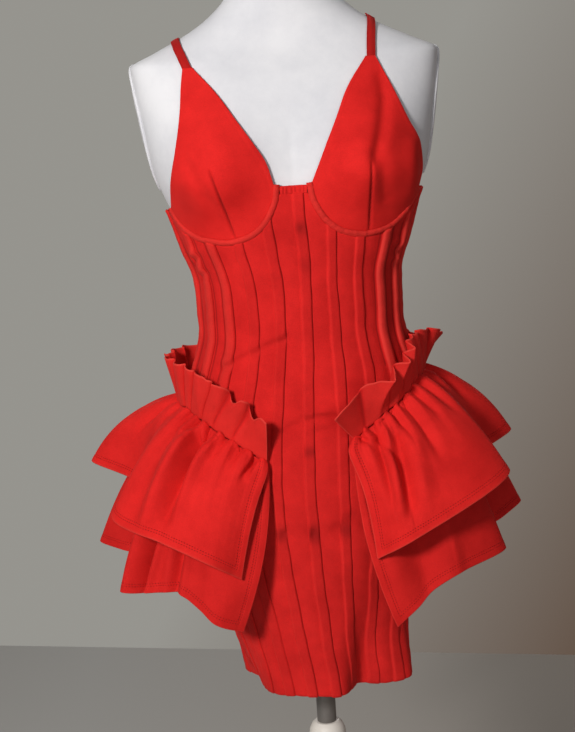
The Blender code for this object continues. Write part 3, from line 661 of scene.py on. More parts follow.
def new_material(name):
    made = bpy.data.materials.new(name)
    made.use_nodes = True
    return made, made.node_tree, made.node_tree.nodes["Principled BSDF"]


UNIT = (0.0, 1.0)
SHEEN_ROUGHNESS, SHEEN_TINT, KNIT_SHINE = 0.45, (1.0, 0.14, 0.11, 1.0), 0.12
SMOOTHER, ROUGHER = 0.06, 0.08
FUZZ_SCALE, FUZZ_DETAIL, FUZZ_ROUGHNESS = 900.0, 3.0, 0.65
PATCH_SCALE, PATCH_DETAIL, PATCH_ROUGHNESS = 26.0, 4.0, 0.6
FUZZ_SHARE, SHADE_RANGE = 0.80, (0.60, 1.20)
STITCH_SHARE, STITCH_BUMP = 0.5, 0.0009
# Tone mixes these in: a paler red for paler cloth and painted highlights, and a deep red for darker cloth
# and painted shade
PALE_RED = (0.74, 0.085, 0.062)
DEEP_RED = (0.13, 0.002, 0.002)


def knit(name, colour, shade, wale, course, bump, roughness, sheen):
    """A fine knit: wales and courses along the cloth's own directions, fuzz and a soft sheen.
    Where a mesh's tone is above 0 it is paler: paler cloth and painted highlights. Below 0 it is deeper
    red: darker cloth and painted shade in seams, darts, pleat hollows and the lower tiers."""
    made, tree, shader = new_material(name)
    flat = node(tree, "ShaderNodeUVMap", "UV", {}, uv_map="cloth")
    waves = []
    for axis, pitch in (("X", wale), ("Y", course)):
        along = node(tree, "ShaderNodeSeparateXYZ", axis, {"Vector": flat})
        turns = calculated(tree, "MULTIPLY", along, 2 * math.pi / pitch)
        waves.append(calculated(tree, "SINE", turns))
    stitches = calculated(tree, "MULTIPLY", *waves)
    where = place_in(tree)
    fuzz = noise(tree, where, FUZZ_SCALE, FUZZ_DETAIL, FUZZ_ROUGHNESS)
    patch = noise(tree, where, PATCH_SCALE, PATCH_DETAIL, PATCH_ROUGHNESS)
    height = calculated(tree, "MULTIPLY_ADD", stitches, STITCH_SHARE, fuzz)
    mottled = calculated(tree, "MULTIPLY_ADD", fuzz, FUZZ_SHARE, patch)
    paint = mixed(tree, span(tree, mottled, SHADE_RANGE), shade, colour)
    tone = node(tree, "ShaderNodeAttribute", "Fac", {}, attribute_name="tone")
    paler = mixed(tree, tone, paint, PALE_RED)
    deeper = mixed(tree, calculated(tree, "MULTIPLY", tone, -1.0), paler, DEEP_RED)
    fill(tree, shader, {
        "Base Color": deeper,
        "Roughness": span(tree, fuzz, UNIT, (roughness - SMOOTHER, roughness + ROUGHER)),
        "Normal": bumped(tree, height, bump, STITCH_BUMP),
        "Sheen Weight": sheen,
        "Sheen Roughness": SHEEN_ROUGHNESS,
        "Sheen Tint": SHEEN_TINT,
        "Specular IOR Level": KNIT_SHINE,
    })
    return made


STAIN_COLOUR, COVER_COLOUR = (0.56, 0.56, 0.595), (0.68, 0.675, 0.70)


def jersey(name):
    """The form's stretched cotton cover: pale, with faint stains and a fine weave."""
    made, tree, shader = new_material(name)
    where = place_in(tree)
    threads = noise(tree, where, scale=1100.0, detail=2.0, roughness=0.6)
    stain = noise(tree, where, scale=9.0, detail=6.0, roughness=0.68)
    fill(tree, shader, {
        "Base Color": mixed(tree, span(tree, stain, (0.32, 0.66)), STAIN_COLOUR, COVER_COLOUR),
        "Roughness": span(tree, threads, UNIT, (0.78, 0.95)),
        "Normal": bumped(tree, threads, strength=0.35, distance=0.0005),
        "Sheen Weight": 0.06,
        "Specular IOR Level": 0.2,
    })
    return made


def hard(name, dark, light, roughness, metallic, scale):
    """Painted wood or brushed metal with faint wear."""
    made, tree, shader = new_material(name)
    wear = noise(tree, place_in(tree), scale, detail=5.0, roughness=0.6)
    fill(tree, shader, {
        "Base Color": mixed(tree, wear, dark, light),
        "Roughness": span(tree, wear, UNIT, (roughness - 0.1, roughness + 0.1)),
        "Normal": bumped(tree, wear, strength=0.15, distance=0.0008),
        "Metallic": metallic,
    })
    return made


BODY_KNIT = knit(
    "bandage_knit", colour=(0.74, 0.0175, 0.0155), shade=(0.50, 0.0085, 0.0080),
    wale=0.0017, course=0.0012, bump=0.55, roughness=0.70, sheen=0.10,
)
TIER_KNIT = knit(
    "peplum_knit", colour=(0.74, 0.0175, 0.0150), shade=(0.53, 0.0090, 0.0080),
    wale=0.0014, course=0.0014, bump=0.42, roughness=0.72, sheen=0.12,
)
THREAD = knit(
    "red_thread", colour=(0.30, 0.006, 0.006), shade=(0.17, 0.004, 0.004),
    wale=0.0008, course=0.0008, bump=0.20, roughness=0.60, sheen=0.05,
)
JERSEY = jersey("form_jersey")
STEEL = hard(
    "form_steel", dark=(0.17, 0.155, 0.145), light=(0.27, 0.25, 0.235),
    roughness=0.42, metallic=0.70, scale=60.0,
)
WOOD = hard(
    "form_wood", dark=(0.60, 0.55, 0.49), light=(0.74, 0.70, 0.65),
    roughness=0.50, metallic=0.0, scale=30.0,
)


# Body panels
def wire_points(count, aside=0.0):
    """The wire's line as (turn, height), moved aside within the surface, upward for a positive value."""
    line = path_through(WIRE_LINE, count)
    flat = np.array([[turn_of(x, z) * girth(z), z] for x, z in line])
    along = unit(np.gradient(flat, axis=0))
    moved = flat + aside * np.column_stack([-along[:, 1], along[:, 0]])
    return np.column_stack([moved[:, 0] / girth(moved[:, 1]), moved[:, 1]])


SEWN_UNDER = 0.5
# Under the cups' outer end the panels end lower, and then go over into the side's height
END_CLEAR, END_CLEAR_TURN, END_TURN = 2.5, 0.02, 0.012


def top_table():
    """Height of the panels' top all round: bridge, wire channel's lower edge, side and back edge."""
    edge = wire_points(60, aside=-(WIRE_WIDTH / 2 - SEWN_UNDER))
    turns = np.linspace(0, 0.5, 3000)
    tops = []
    bridge = BRIDGE_HEIGHT - BRIDGE_BINDING - SEAM_GAP
    order = np.argsort(edge[:, 0])
    ends_at, end = edge[-1]
    for away in turns:
        if away <= edge[0, 0]:
            tops.append(bridge)
        elif away < ends_at:
            clear = END_CLEAR if away > ends_at - END_CLEAR_TURN else 0.0
            under_wire = float(np.interp(away, edge[order, 0], edge[order, 1]))
            tops.append(min(bridge, under_wire) - clear)
        else:
            tops.append(end + (SIDE_TOP_HEIGHT - end) * min(1.0, (away - ends_at) / END_TURN))
    return turns, np.array(tops)


TOP_TURNS, TOPS = top_table()


def panel_top(turn):
    return np.interp(np.abs(from_front(turn)), TOP_TURNS, TOPS)


# Across a panel: millimetres from its left seam and rise, then from its right seam, band included
LEFT_PROFILE = ((0.02, -0.85), (0.4, -0.4), (0.9, -0.1), (2.2, 0.0))
RIGHT_PROFILE = (
    (13.4, 0.0), (12.6, 0.12), (12.0, 0.55), (11.4, 1.05), (10.6, 1.34), (9.2, 1.45), (7.4, 1.45),
    (5.5, 1.45), (3.4, 1.42), (1.8, 1.32), (0.95, 1.1), (0.45, 0.6), (0.15, 0.0), (0.02, -0.5),
)
PANEL_MIDDLE = 9
CROWN_EDGE, CROWN = 0.05, 0.42
# Painted highlight on the raised side cords and on each band's rim, the flat bands' deeper red, and where
# the rim starts
CORD_PAINTED_HIGHLIGHT, BAND_DEEP, RIM_PAINTED_HIGHLIGHT, RIM_FROM = 0.16, 0.08, 0.12, 10.5
# Painted shade in the seams, on the bodice and, weaker, on the skirt
SEAM_PAINTED_SHADE, SKIRT_SEAM_PAINTED_SHADE = 0.6, 0.4
# Darker places on the bands, painted shade where creases dent them and press marks: panel, height, half
# height, and how deep their red is
BAND_SHADE_AND_PRESS_MARKS = (
    (19, 791.0, 10.5, 0.44), (0, 792.0, 10.5, 0.54), (1, 794.0, 10.5, 0.48),
    (0, 892.0, 6.5, 0.42), (0, 1148.0, 8.0, 0.42), (0, 1106.0, 12.0, 0.20),
)
SEAM_FADE = (850, 960)
ON_BAND_FROM, IN_SEAM_BELOW = 0.5, -0.3
RELIEF, SIDE_RELIEF = 1.15, 1.0
CORD_ROUND, CORD_SUNK, DEEPEST = 1.3, 0.9, -1.6
SEAM_WANDER, WANDER_LENGTH = 0.45, 17.0
PUCKER, PUCKER_LENGTH, PUCKER_OFF_BAND = 0.28, 5.5, 0.35
CORD_STARTS, CORD_ENDS = (0.09, 0.15), (0.36, 0.44)
CORD_LOW, CORD_HIGH = (900, 1010), (1120, 1165)


def side_share(turn, height):
    """Where the bands stand up as rounded cords: at the sides of the waist."""
    away = np.abs(from_front(turn))
    aside = ease(away, *CORD_STARTS) * (1 - ease(away, *CORD_ENDS))
    return aside * ease(height, *CORD_LOW) * (1 - 0.5 * ease(height, *CORD_HIGH))


def panel_columns(start, end, around):
    """Across a panel: each column's turn and rise, and whether it is on the band and on its rim."""
    first = start + LEFT_PROFILE[-1][0] / around
    last = end - RIGHT_PROFILE[0][0] / around
    columns = [(start + at / around, rise, False, False) for at, rise in LEFT_PROFILE]
    for i in range(1, PANEL_MIDDLE):
        way = i / PANEL_MIDDLE
        crown = CROWN_EDGE + CROWN * math.sin(math.pi * way)
        columns.append((first + (last - first) * way, crown, False, False))
    for at, rise in RIGHT_PROFILE:
        columns.append((end - at / around, rise, True, at > RIM_FROM))
    turn, *rest = zip(*columns)
    return np.concatenate(turn, axis=1), *(np.array([row], float) for row in rest)


def panel_tone(k, height, corded, rise, on_band, on_rim):
    """Paler on corded bands and rims, as painted highlight; deeper on flat bands; deeper on their marks,
    which are painted shade in dents and press marks; and deeper in the seams, as painted shade.
    """
    # Painted highlight on corded bands and on the band rims
    tone = CORD_PAINTED_HIGHLIGHT * corded - BAND_DEEP * (1 - corded) + RIM_PAINTED_HIGHLIGHT * on_rim
    # Darker patches on the bands: painted shade in dents, and press marks
    for panel, mark_height, half_height, deep in BAND_SHADE_AND_PRESS_MARKS:
        if panel == k:
            tone = tone - deep * bell(height - mark_height, half_height)
    # Painted shade in the seam grooves, less on the skirt
    seam_shade = SKIRT_SEAM_PAINTED_SHADE + (SEAM_PAINTED_SHADE - SKIRT_SEAM_PAINTED_SHADE) * ease(height, *SEAM_FADE)
    return on_band * (rise > ON_BAND_FROM) * tone - seam_shade * (rise < IN_SEAM_BELOW)


def add_panels():
    share = np.linspace(0, 1, PANEL_ROWS + 1)[:, None]
    nominal = HEM_HEIGHT + share * (SIDE_TOP_HEIGHT - HEM_HEIGHT)
    around = girth(nominal)
    half = BAND_WIDTH / 2 / around
    wander = SEAM_WANDER / around
    for k in range(PANEL_COUNT):
        before, middle = seam_turn(k - 1, nominal), seam_turn(k, nominal)
        before = np.where(before > middle, before - 1.0, before)
        start = before + half + wander * ripple(nominal / WANDER_LENGTH, (k - 1) % PANEL_COUNT)
        end = middle + half + wander * ripple(nominal / WANDER_LENGTH, k)
        turn, rise, on_band, on_rim = panel_columns(start, end, around)
        height = HEM_HEIGHT + share * (panel_top(turn) - HEM_HEIGHT)
        corded = side_share(turn, height)
        rise = rise * np.where(rise > 0, RELIEF + SIDE_RELIEF * corded, 1.0)
        cord = CORD_ROUND * np.sin(math.pi * np.clip((end - turn) * around / BAND_WIDTH, 0, 1))
        rise = rise + corded * np.where(on_band > 0, cord, -CORD_SUNK * (rise > CROWN_EDGE - 0.01))
        relief = body_relief(turn, height)
        pucker = PUCKER * ripple(height / PUCKER_LENGTH, k + 0.5)
        pucker = pucker * (PUCKER_OFF_BAND + (1 - PUCKER_OFF_BAND) * on_band) * (rise > 0.3)
        outer = surface(turn, height, np.maximum(rise + relief + pucker, DEEPEST))
        inner = surface(turn, height, -WALL + np.minimum(relief, 0.0) * 0.4)
        uv = np.stack([turn * girth(height), height], axis=-1)
        name = f"panel_{k:02d}"
        tone = panel_tone(k, height, corded, rise, on_band, on_rim)
        round_hem_and_top = (True, False, True, False)
        obj = cloth_shell(f"{name}_cloth", outer, inner, uv, BODY_KNIT, round_hem_and_top, tone)
        settle(obj, "red_knit", name)


# Cups, wire channels, bridge and straps
# Creases narrower than this are darts, and how much painted shade lies along them
DART_WIDEST, DART_PAINTED_SHADE = 2.5, 0.95
CUP_OUT, CUP_WIDTH = 0.3, 90.0
CUP_HEM, CUP_HEM_AWAY, CUP_HEM_HALF = 0.35, 4.0, 2.5


def add_cups():
    for name, side in SIDES:
        bottom = wire_points(CUP_COLUMNS + 1, aside=WIRE_WIDTH / 2 - SEWN_UNDER)
        neck, arm = (
            np.array([[turn_of(x, z), z] for x, z in path_through(edge[name], CUP_ROWS + 1)])
            for edge in (NECK_EDGE, ARM_EDGE)
        )
        across = np.linspace(0, 1, CUP_COLUMNS + 1)[None, :, None]
        up = np.linspace(0, 1, CUP_ROWS + 1)[:, None, None]
        ruled = (1 - across) * neck[:, None] + across * arm[:, None]
        straight = (1 - across) * neck[0] + across * arm[0]
        place = ruled + (1 - up) ** 1.5 * (bottom[None] - straight)
        turn, height = side * place[..., 0], place[..., 1]
        flat = surface(turn, height, CUP_OUT)
        x, z = flat[..., 0], flat[..., 2]
        relief, tone = np.zeros_like(x), np.zeros_like(x)
        for x0, z0, x1, z1, depth, half_width in CUP_CREASES[name]:
            felt, _ = stroke(x, z, (x0, z0, x1, z1), half_width)
            relief -= depth * felt
            # Painted shade along each dart: its red is made deeper
            if half_width < DART_WIDEST:
                tone -= DART_PAINTED_SHADE * felt**2
        edge = np.minimum(across[..., 0], 1 - across[..., 0]) * CUP_WIDTH
        relief = relief + CUP_HEM * bell(edge - CUP_HEM_AWAY, CUP_HEM_HALF)
        outer = surface(turn, height, CUP_OUT + relief)
        inner = outer - WALL * (normals_of(outer) * side)
        uv = np.stack([turn * girth(height), height], axis=-1)
        obj = cloth_shell(f"cup_{name}_cloth", outer, inner, uv, TIER_KNIT, tone=tone)
        settle(obj, "red_knit", f"cup_{name}")


def tube_faces(count, sides, closed=False):
    """Faces from each of a tube's sections to the next, and to the first one if it is closed."""
    faces = []
    for r in range(count if closed else count - 1):
        below, above = r * sides, (r + 1) % count * sides
        for c in range(sides):
            d = (c + 1) % sides
            faces.append((below + c, below + d, above + d, above + c))
    return faces


def tube_piece(name, sections, material, uv_width, tone=0.0):
    """A closed piece through matching closed sections, with ends closed by fans."""
    sections = np.asarray(sections)
    count, sides = sections.shape[:2]
    points = np.concatenate([sections.reshape(-1, 3), [sections[0].mean(0)], [sections[-1].mean(0)]])
    faces = tube_faces(count, sides)
    low, high = count * sides, count * sides + 1
    last = (count - 1) * sides
    for c in range(sides):
        d = (c + 1) % sides
        faces.append((low, d, c))
        faces.append((high, last + c, last + d))
    along = way_along(sections.mean(1))
    u = np.linspace(0, uv_width, sides, endpoint=False)
    uvs = np.stack(np.broadcast_arrays(u[None, :], along[:, None]), axis=-1).reshape(-1, 2)
    uvs = np.concatenate([uvs, [[0, 0], [0, along[-1]]]])
    return mesh_piece(name, points, faces, uvs, material, np.full(len(points), tone))


WIRE_POINTS, WIRE_GATHER, WIRE_GATHER_PACE, WIRE_PALE = 150, 0.34, 0.8, 0.16
# Round a wire channel: share across and rise
WIRE_SECTION = (
    (0.0, -1.5), (0.0, 0.3), (0.06, 1.3), (0.18, 2.2), (0.34, 2.8), (0.5, 3.0), (0.66, 2.8),
    (0.82, 2.2), (0.94, 1.3), (1.0, 0.3), (1.0, -1.5),
)


def add_wire_channels():
    for name, side in SIDES:
        lower = wire_points(WIRE_POINTS, aside=-WIRE_WIDTH / 2)
        upper = wire_points(WIRE_POINTS, aside=WIRE_WIDTH / 2)
        gather = WIRE_GATHER * ripple(np.arange(WIRE_POINTS) * WIRE_GATHER_PACE, 5 + side)
        sections = []
        for across, out in WIRE_SECTION:
            place = lower + across * (upper - lower)
            swell = gather if out > 0 else 0.0
            sections.append(surface(side * place[:, 0], place[:, 1], out + swell))
        sections = np.array(sections).transpose(1, 0, 2)
        obj = tube_piece(f"wire_channel_{name}_cloth", sections, BODY_KNIT, uv_width=18.0, tone=WIRE_PALE)
        settle(obj, "red_knit", f"wire_channel_{name}")


BINDING_UNDER, BINDING_OUT, BINDING_WAVE = 2.4, 0.35, 0.85


def add_bridge_binding():
    edge = wire_points(60, aside=-(WIRE_WIDTH / 2 + SEAM_GAP))
    low, high = BRIDGE_HEIGHT - BRIDGE_BINDING, BRIDGE_HEIGHT
    around = float(girth(low))
    reach = float(np.interp(-low, -edge[:20, 1], edge[:20, 0])) - SEAM_GAP / around
    reach = min(reach, edge[0, 0] - SEAM_GAP / around) + BINDING_UNDER * SEWN_UNDER / around
    turn = np.linspace(-reach, reach, 90)[None, :]
    up = np.linspace(0, 1, 15)[:, None]
    height = low + up * (high - low)
    wave = 0.5 + 0.5 * np.sin(turn / reach * math.pi * 6.5 + 0.8 * np.sin(turn / reach * 9))
    out = BINDING_OUT + BINDING_WAVE * wave * np.sin(math.pi * np.clip(up * 0.9 + 0.08, 0, 1)) ** 0.7
    outer = surface(turn, height, out)
    inner = surface(turn, height, np.full_like(out, -WALL))
    uv = np.stack(np.broadcast_arrays(turn * girth(height), height), axis=-1)
    obj = cloth_shell("bridge_binding_cloth", outer, inner, uv, BODY_KNIT, (True, False, True, False))
    settle(obj, "red_knit", "bridge_binding")


def form_level(point):
    """Below 1 inside the form, 1 on its surface, the bust left out."""
    x, y, z = point
    half, front, back, power = (float(smooth_column(RINGS, k, z)) for k in range(1, 5))
    half, depth = half - FORM_CLEARANCE, (front if y < 0 else back) - FORM_CLEARANCE
    return abs(x / half) ** power + abs(y / depth) ** power


def form_out(point):
    steps = np.eye(3) * 0.5
    return unit(np.array([form_level(point + s) - form_level(point - s) for s in steps]))


def strap_line(name, side, count):
    """Evenly spaced points of a strap's centre line on the form, over the shoulder to the back edge."""
    quarter = RING_SAMPLES // 4
    points = []
    over = path_through(STRAP_PATH[name][:3], count=160)
    down = path_through(STRAP_PATH[name][2:], count=160)[1:]
    for front, line in ((True, over), (False, down)):
        for x, height in line:
            rx, ry = ring(height, FORM_CLEARANCE)
            x = min(x, rx.max() - 0.05)
            if front:
                y = np.interp(x, rx[: quarter + 1], ry[: quarter + 1])
            else:
                y = np.interp(x, rx[quarter : 2 * quarter + 1][::-1], ry[quarter : 2 * quarter + 1][::-1])
            points.append((x, float(y), height))
    line = path_through(points, count)
    line[:, 0] *= side
    return line


STRAP_TUCK, STRAP_DROP, STRAP_DEEP, STRAP_POINTS = 7.0, 1.2, 0.5, 130
# Round a strap: share aside and share of the thickness
STRAP_SECTION = (
    (-1.0, 0.25), (-0.96, 0.0), (0.0, 0.0), (0.96, 0.0), (1.0, 0.25), (1.0, 0.7), (0.93, 0.97),
    (0.82, 0.94), (0.74, 0.78), (0.66, 0.95), (0.0, 1.08), (-0.66, 0.95), (-0.74, 0.78),
    (-0.82, 0.94), (-0.93, 0.97), (-1.0, 0.7),
)


def add_straps():
    for name, side in SIDES:
        line = strap_line(name, side, STRAP_POINTS)
        along = np.gradient(line, axis=0)
        ways = np.array([form_out(p) for p in line])
        for _ in range(3):
            ways[1:-1] = (ways[:-2] + 2 * ways[1:-1] + ways[2:]) / 4
            ways = unit(ways)
        across = unit(np.cross(ways, along))
        far = way_along(line)
        lift = STRAP_LIFT * np.exp(-far / STRAP_LIFT_LENGTH)
        start = line[0] - unit(line[1] - line[0]) * STRAP_TUCK
        line, ways = np.concatenate([[start], line]), np.concatenate([ways[:1], ways])
        across = np.concatenate([across[:1], across])
        lift = np.concatenate([[STRAP_LIFT - STRAP_DROP], lift])
        base = line + ways * (STRAP_CLEARANCE + lift)[:, None]
        sections = []
        for aside, out in STRAP_SECTION:
            sections.append(base + across * aside * STRAP_WIDTH / 2 + ways * out * STRAP_THICKNESS)
        sections = np.array(sections).transpose(1, 0, 2)
        obj = tube_piece(f"strap_{name}_cloth", sections, TIER_KNIT, uv_width=24.0, tone=-STRAP_DEEP)
        settle(obj, "red_knit", f"strap_{name}")


# The peplum
def seam_frame(share, side):
    """Points of the peplum's seam, the ways out of the dress and to the centre front, the stand-off."""
    left = side > 0
    turn = side * smooth_column(PEPLUM_SEAM, 1, share)
    height = smooth_column(PEPLUM_SEAM, 2 if left else 3, share)
    stand = smooth_column(PEPLUM_STAND, 1 if left else 4, share)
    on_dress = surface(turn, height)
    out = surface(turn, height, 1.0) - on_dress
    to_front = np.stack([out[..., 1], -out[..., 0], np.zeros_like(out[..., 0])], axis=-1) * side
    return on_dress, out, to_front, stand


def edge_shares(columns):
    """Even shares along the peplum's seam, with one more close to each end for a crisp edge."""
    share = np.linspace(0, 1, columns + 1)
    return np.concatenate([[0.0, 0.0012], share[1:-1], [0.9988, 1.0]])[None, :]


SEAM_SHARES = np.linspace(0, 1, 400)
HEADER_TIP, TIP_FADE, HEADER_BOW, EDGE_FROM = 3.5, 0.03, 1.6, 0.965
# The headers' paler red, painted highlight on their top edge and front end, painted shade in their hollows,
# and the hollows' width
HEADER_PALE, HEADER_EDGE_PAINTED_HIGHLIGHT, PLEAT_PAINTED_SHADE, PLEAT_LINE = 0.09, 0.30, 0.5, 0.35
# At the seam, against the top: how wide a fold is, how far it closes and how far it runs under
SEAM_WIDTH, SEAM_CLOSED, SEAM_UNDER, MOUTH = 0.62, 0.35, 0.4, 2.33


def header_wave(name, share, up):
    """How far a header's pleats move it out of its leaning line, to the front and down, and where
    its hollows are."""
    along = way_along(seam_frame(SEAM_SHARES, 1 if name == "left" else -1)[0])
    at = np.interp(share, SEAM_SHARES, along)
    out, aside, drop, hollow = 0.0, 0.0, 0.0, 0.0
    for low, high, half_width, low_depth, high_depth, closing, under, dip in HEADER_FOLDS[name]:
        lean = ease(up, 0.0, 1.0) * 0.35 + up * 0.65
        middle = np.interp(low + (high - low) * lean, SEAM_SHARES, along)
        wide = half_width * (SEAM_WIDTH + (1 - SEAM_WIDTH) * up)
        x = (at - middle) / wide
        felt = bell(at - middle, wide)
        open_up = up**1.7
        out = out - (low_depth + (high_depth - low_depth) * open_up) * felt
        mouth = MOUTH * closing * wide * (SEAM_CLOSED + (1 - SEAM_CLOSED) * open_up) * x * felt
        aside = aside + mouth - under * (SEAM_UNDER + (1 - SEAM_UNDER) * open_up) * felt
        beside = x + 1.0 if high_depth > 0 else x
        drop = drop + dip * up**2.5 * np.exp(-(beside**2))
        hollow = hollow + bell(x, PLEAT_LINE) * (high_depth > 0) * ease(up, 0.0, 0.2)
    return out, aside, drop, hollow


def add_headers():
    """The stand-up pleated strips: broad fronts, narrow hollows that close towards the seam."""
    for name, side in SIDES:
        share = edge_shares(HEADER_COLUMNS)
        up = np.concatenate([np.linspace(0, EDGE_FROM, HEADER_ROWS), [0.988, 1.0]])[:, None]
        base, out, to_front, stand = seam_frame(share, side)
        lean = smooth_column(PEPLUM_STAND, 2 if side > 0 else 5, share)
        drawn = smooth_column(PEPLUM_STAND, 3 if side > 0 else 6, share)
        rise = np.sqrt(HEADER_HEIGHT[name] ** 2 - lean**2 - drawn**2)
        wave, aside, drop, hollow = header_wave(name, share, up)
        tip = 0.8 * ripple(share * 75.0, 7 + side) * up**2
        curl = HEADER_TIP * np.exp(-share / TIP_FADE) * up**2 * (side < 0)
        bow = HEADER_BOW * np.sin(math.pi * up) * (0.5 + 0.5 * ripple(share * 40.0, 3))
        place = (
            base
            + out * (stand + lean * up**1.3 + wave + curl + bow)[..., None]
            + to_front * (drawn * up + aside)[..., None]
        )
        place[..., 2] += 0.7 + up * rise + tip - drop
        normal = normals_of(place) * side
        half = TIER_THICKNESS / 2
        on_edge = np.maximum(ease(up, EDGE_FROM, 0.99), ease(-share, -0.002, 0.0))
        # Paler red all over, painted highlight along the top edge and front end, painted shade in the pleat
        # hollows
        tone = HEADER_PALE + HEADER_EDGE_PAINTED_HIGHLIGHT * on_edge - PLEAT_PAINTED_SHADE * hollow
        uv = uv_of(place)
        outer, inner = place + half * normal, place - half * normal
        obj = cloth_shell(f"header_{name}_cloth", outer, inner, uv, TIER_KNIT, tone=tone)
        settle(obj, "red_knit", f"header_{name}")


# Tiers: name, side, bulge, how far inside the header's seam, how far drawn forward, puff at the front
TIERS = (
    ("tier_upper_left", 1, UPPER_BULGE, 0.0, 0.0, FRONT_PUFF["left"]),
    ("tier_upper_right", -1, UPPER_BULGE, 0.0, 0.0, FRONT_PUFF["right"]),
    ("tier_lower_left", 1, LOWER_BULGE, LOWER_TIER_INSET, LOWER_FRONT_DRAW, 0.0),
    ("tier_lower_right", -1, LOWER_BULGE, LOWER_TIER_INSET, LOWER_FRONT_DRAW, 0.0),
)
SEAM_DROP, SEAM_DROP_SHARE, CONTROL_SHARE = 0.9, 1.1, 0.42
FULLEST, FULLEST_SPREAD, LIFT_OUT, LIFT_UP = 0.66, 0.16, 0.75, 0.65
PUFF_DOWN, TUCKS_FADE = 0.15, 2.2
GATHER, GATHER_FADE, SOFT_WAVE, SOFT_WAVE_FADE = 1.1, 24.0, 0.8, 80.0
HEM_TURN, HEM_FOLD, HEM_GROOVE, HEM_GROOVE_AWAY = 10.0, 0.4, -0.7, 1.2
FOLD_BOLDNESS, RIDGE_SHARE = 1.35, 0.36
# The lower tiers' belly, painted shade over the lower tiers, and painted highlight along the tiers' edges
LOWER_BELLY, LOWER_TIER_PAINTED_SHADE, TIER_EDGE_PAINTED_HIGHLIGHT = 3.0, 0.14, 0.32
STITCH_ROWS = (8.0, 11.0)
STITCH_PITCH, STITCH_LENGTH, STITCH_WIDTH, STITCH_HEIGHT, STITCH_SINK = 3.4, 2.3, 1.1, 0.5, 0.2


def tier_middle(name, side, bulge, inset, front_draw, front_puff):
    """Middle surface of a tier: from the seam out over its bulge and down to its hem."""
    share = edge_shares(TIER_COLUMNS)
    down = np.linspace(0, 1, TIER_ROWS + 1) ** 1.15
    down = np.concatenate([down[:-1], [0.9955, 1.0]])[:, None]
    base, out, to_front, stand = seam_frame(share, side)
    start = base + out * (stand - inset)[..., None] + np.array([0, 0, -SEAM_DROP - inset * SEAM_DROP_SHARE])
    hem = np.stack([smooth_column(HEMS[name], k, share) for k in (1, 2, 3)], axis=-1)
    hem[..., 0] *= side
    at_fullest = bell(share - FULLEST, FULLEST_SPREAD)
    fuller = 1 + BULGE_FULLER["left" if side > 0 else "right"] * at_fullest
    lift = (out * LIFT_OUT + np.array([0, 0, LIFT_UP])) * fuller[..., None]
    at_front = bell(share, FRONT_PUFF_SHARE)
    forward = to_front * (front_draw * at_front)[..., None]
    control = start + CONTROL_SHARE * (hem - start) + bulge * lift + forward
    d = down[..., None]
    place = (1 - d) ** 2 * start + 2 * d * (1 - d) * control + d**2 * hem
    tucks = np.sin(2 * math.pi * TUCKS * share)
    wave = TUCK_DEPTH * (1 - down) ** TUCKS_FADE * tucks * ease(down, 0.0, 0.06)
    if inset == 0:
        wave = wave + header_wave(name.split("_")[-1], share, 0.0)[0] * np.exp(-down / 0.05)
    puff = front_puff * at_front * down / PUFF_DOWN * np.exp(1 - down / PUFF_DOWN)
    return place + out * wave[..., None] + to_front * puff[..., None], share, down


def tier_relief(name, place, share, down):
    """Gathers near the seam and the larger folds, in millimetres out of the tier."""
    across = np.linalg.norm(np.gradient(place, share[0], axis=1), axis=2)
    along = way_along(place)
    length = along[-1:]
    out = np.zeros(place.shape[:2])
    v = down * length
    for s0, d0, s1, d1, depth, half_width, wider in TIER_FOLDS[name]:
        ends = (0.0, d0 * length, (s1 - s0) * across, d1 * length)
        u = (share - s0) * across
        fade = "end" if d0 < 0.2 else "both"
        _, aside = stroke(u, v, ends, half_width, fade)
        felt, _ = stroke(u, v, ends, half_width * np.where(aside > 0, wider, 1.0), fade)
        behind, _ = stroke(u - 1.7 * wider * half_width, v, ends, 1.2 * wider * half_width, fade)
        ahead, _ = stroke(u + 1.7 * half_width, v, ends, 1.2 * half_width, fade)
        out += FOLD_BOLDNESS * depth * (RIDGE_SHARE * (behind + ahead) - felt)
    gather = GATHER * np.exp(-(along / GATHER_FADE)) * ripple(share * 150.0, len(name))
    gather = gather * (1 - np.exp(-along / 3.0))
    calm = np.exp(-along / SOFT_WAVE_FADE)
    belly = LOWER_BELLY * np.sin(math.pi * np.clip((down - 0.35) / 0.65, 0, 1)) * ("lower" in name)
    return out + gather + SOFT_WAVE * calm * ripple(share * 70.0, 9) + belly


def edge_line(grid, away, far):
    """Points of a grid's rows at a distance from where away is 0, each row's values going up."""
    return np.array([[np.interp(far, away[r], grid[r, :, k]) for k in range(3)] for r in range(len(grid))])


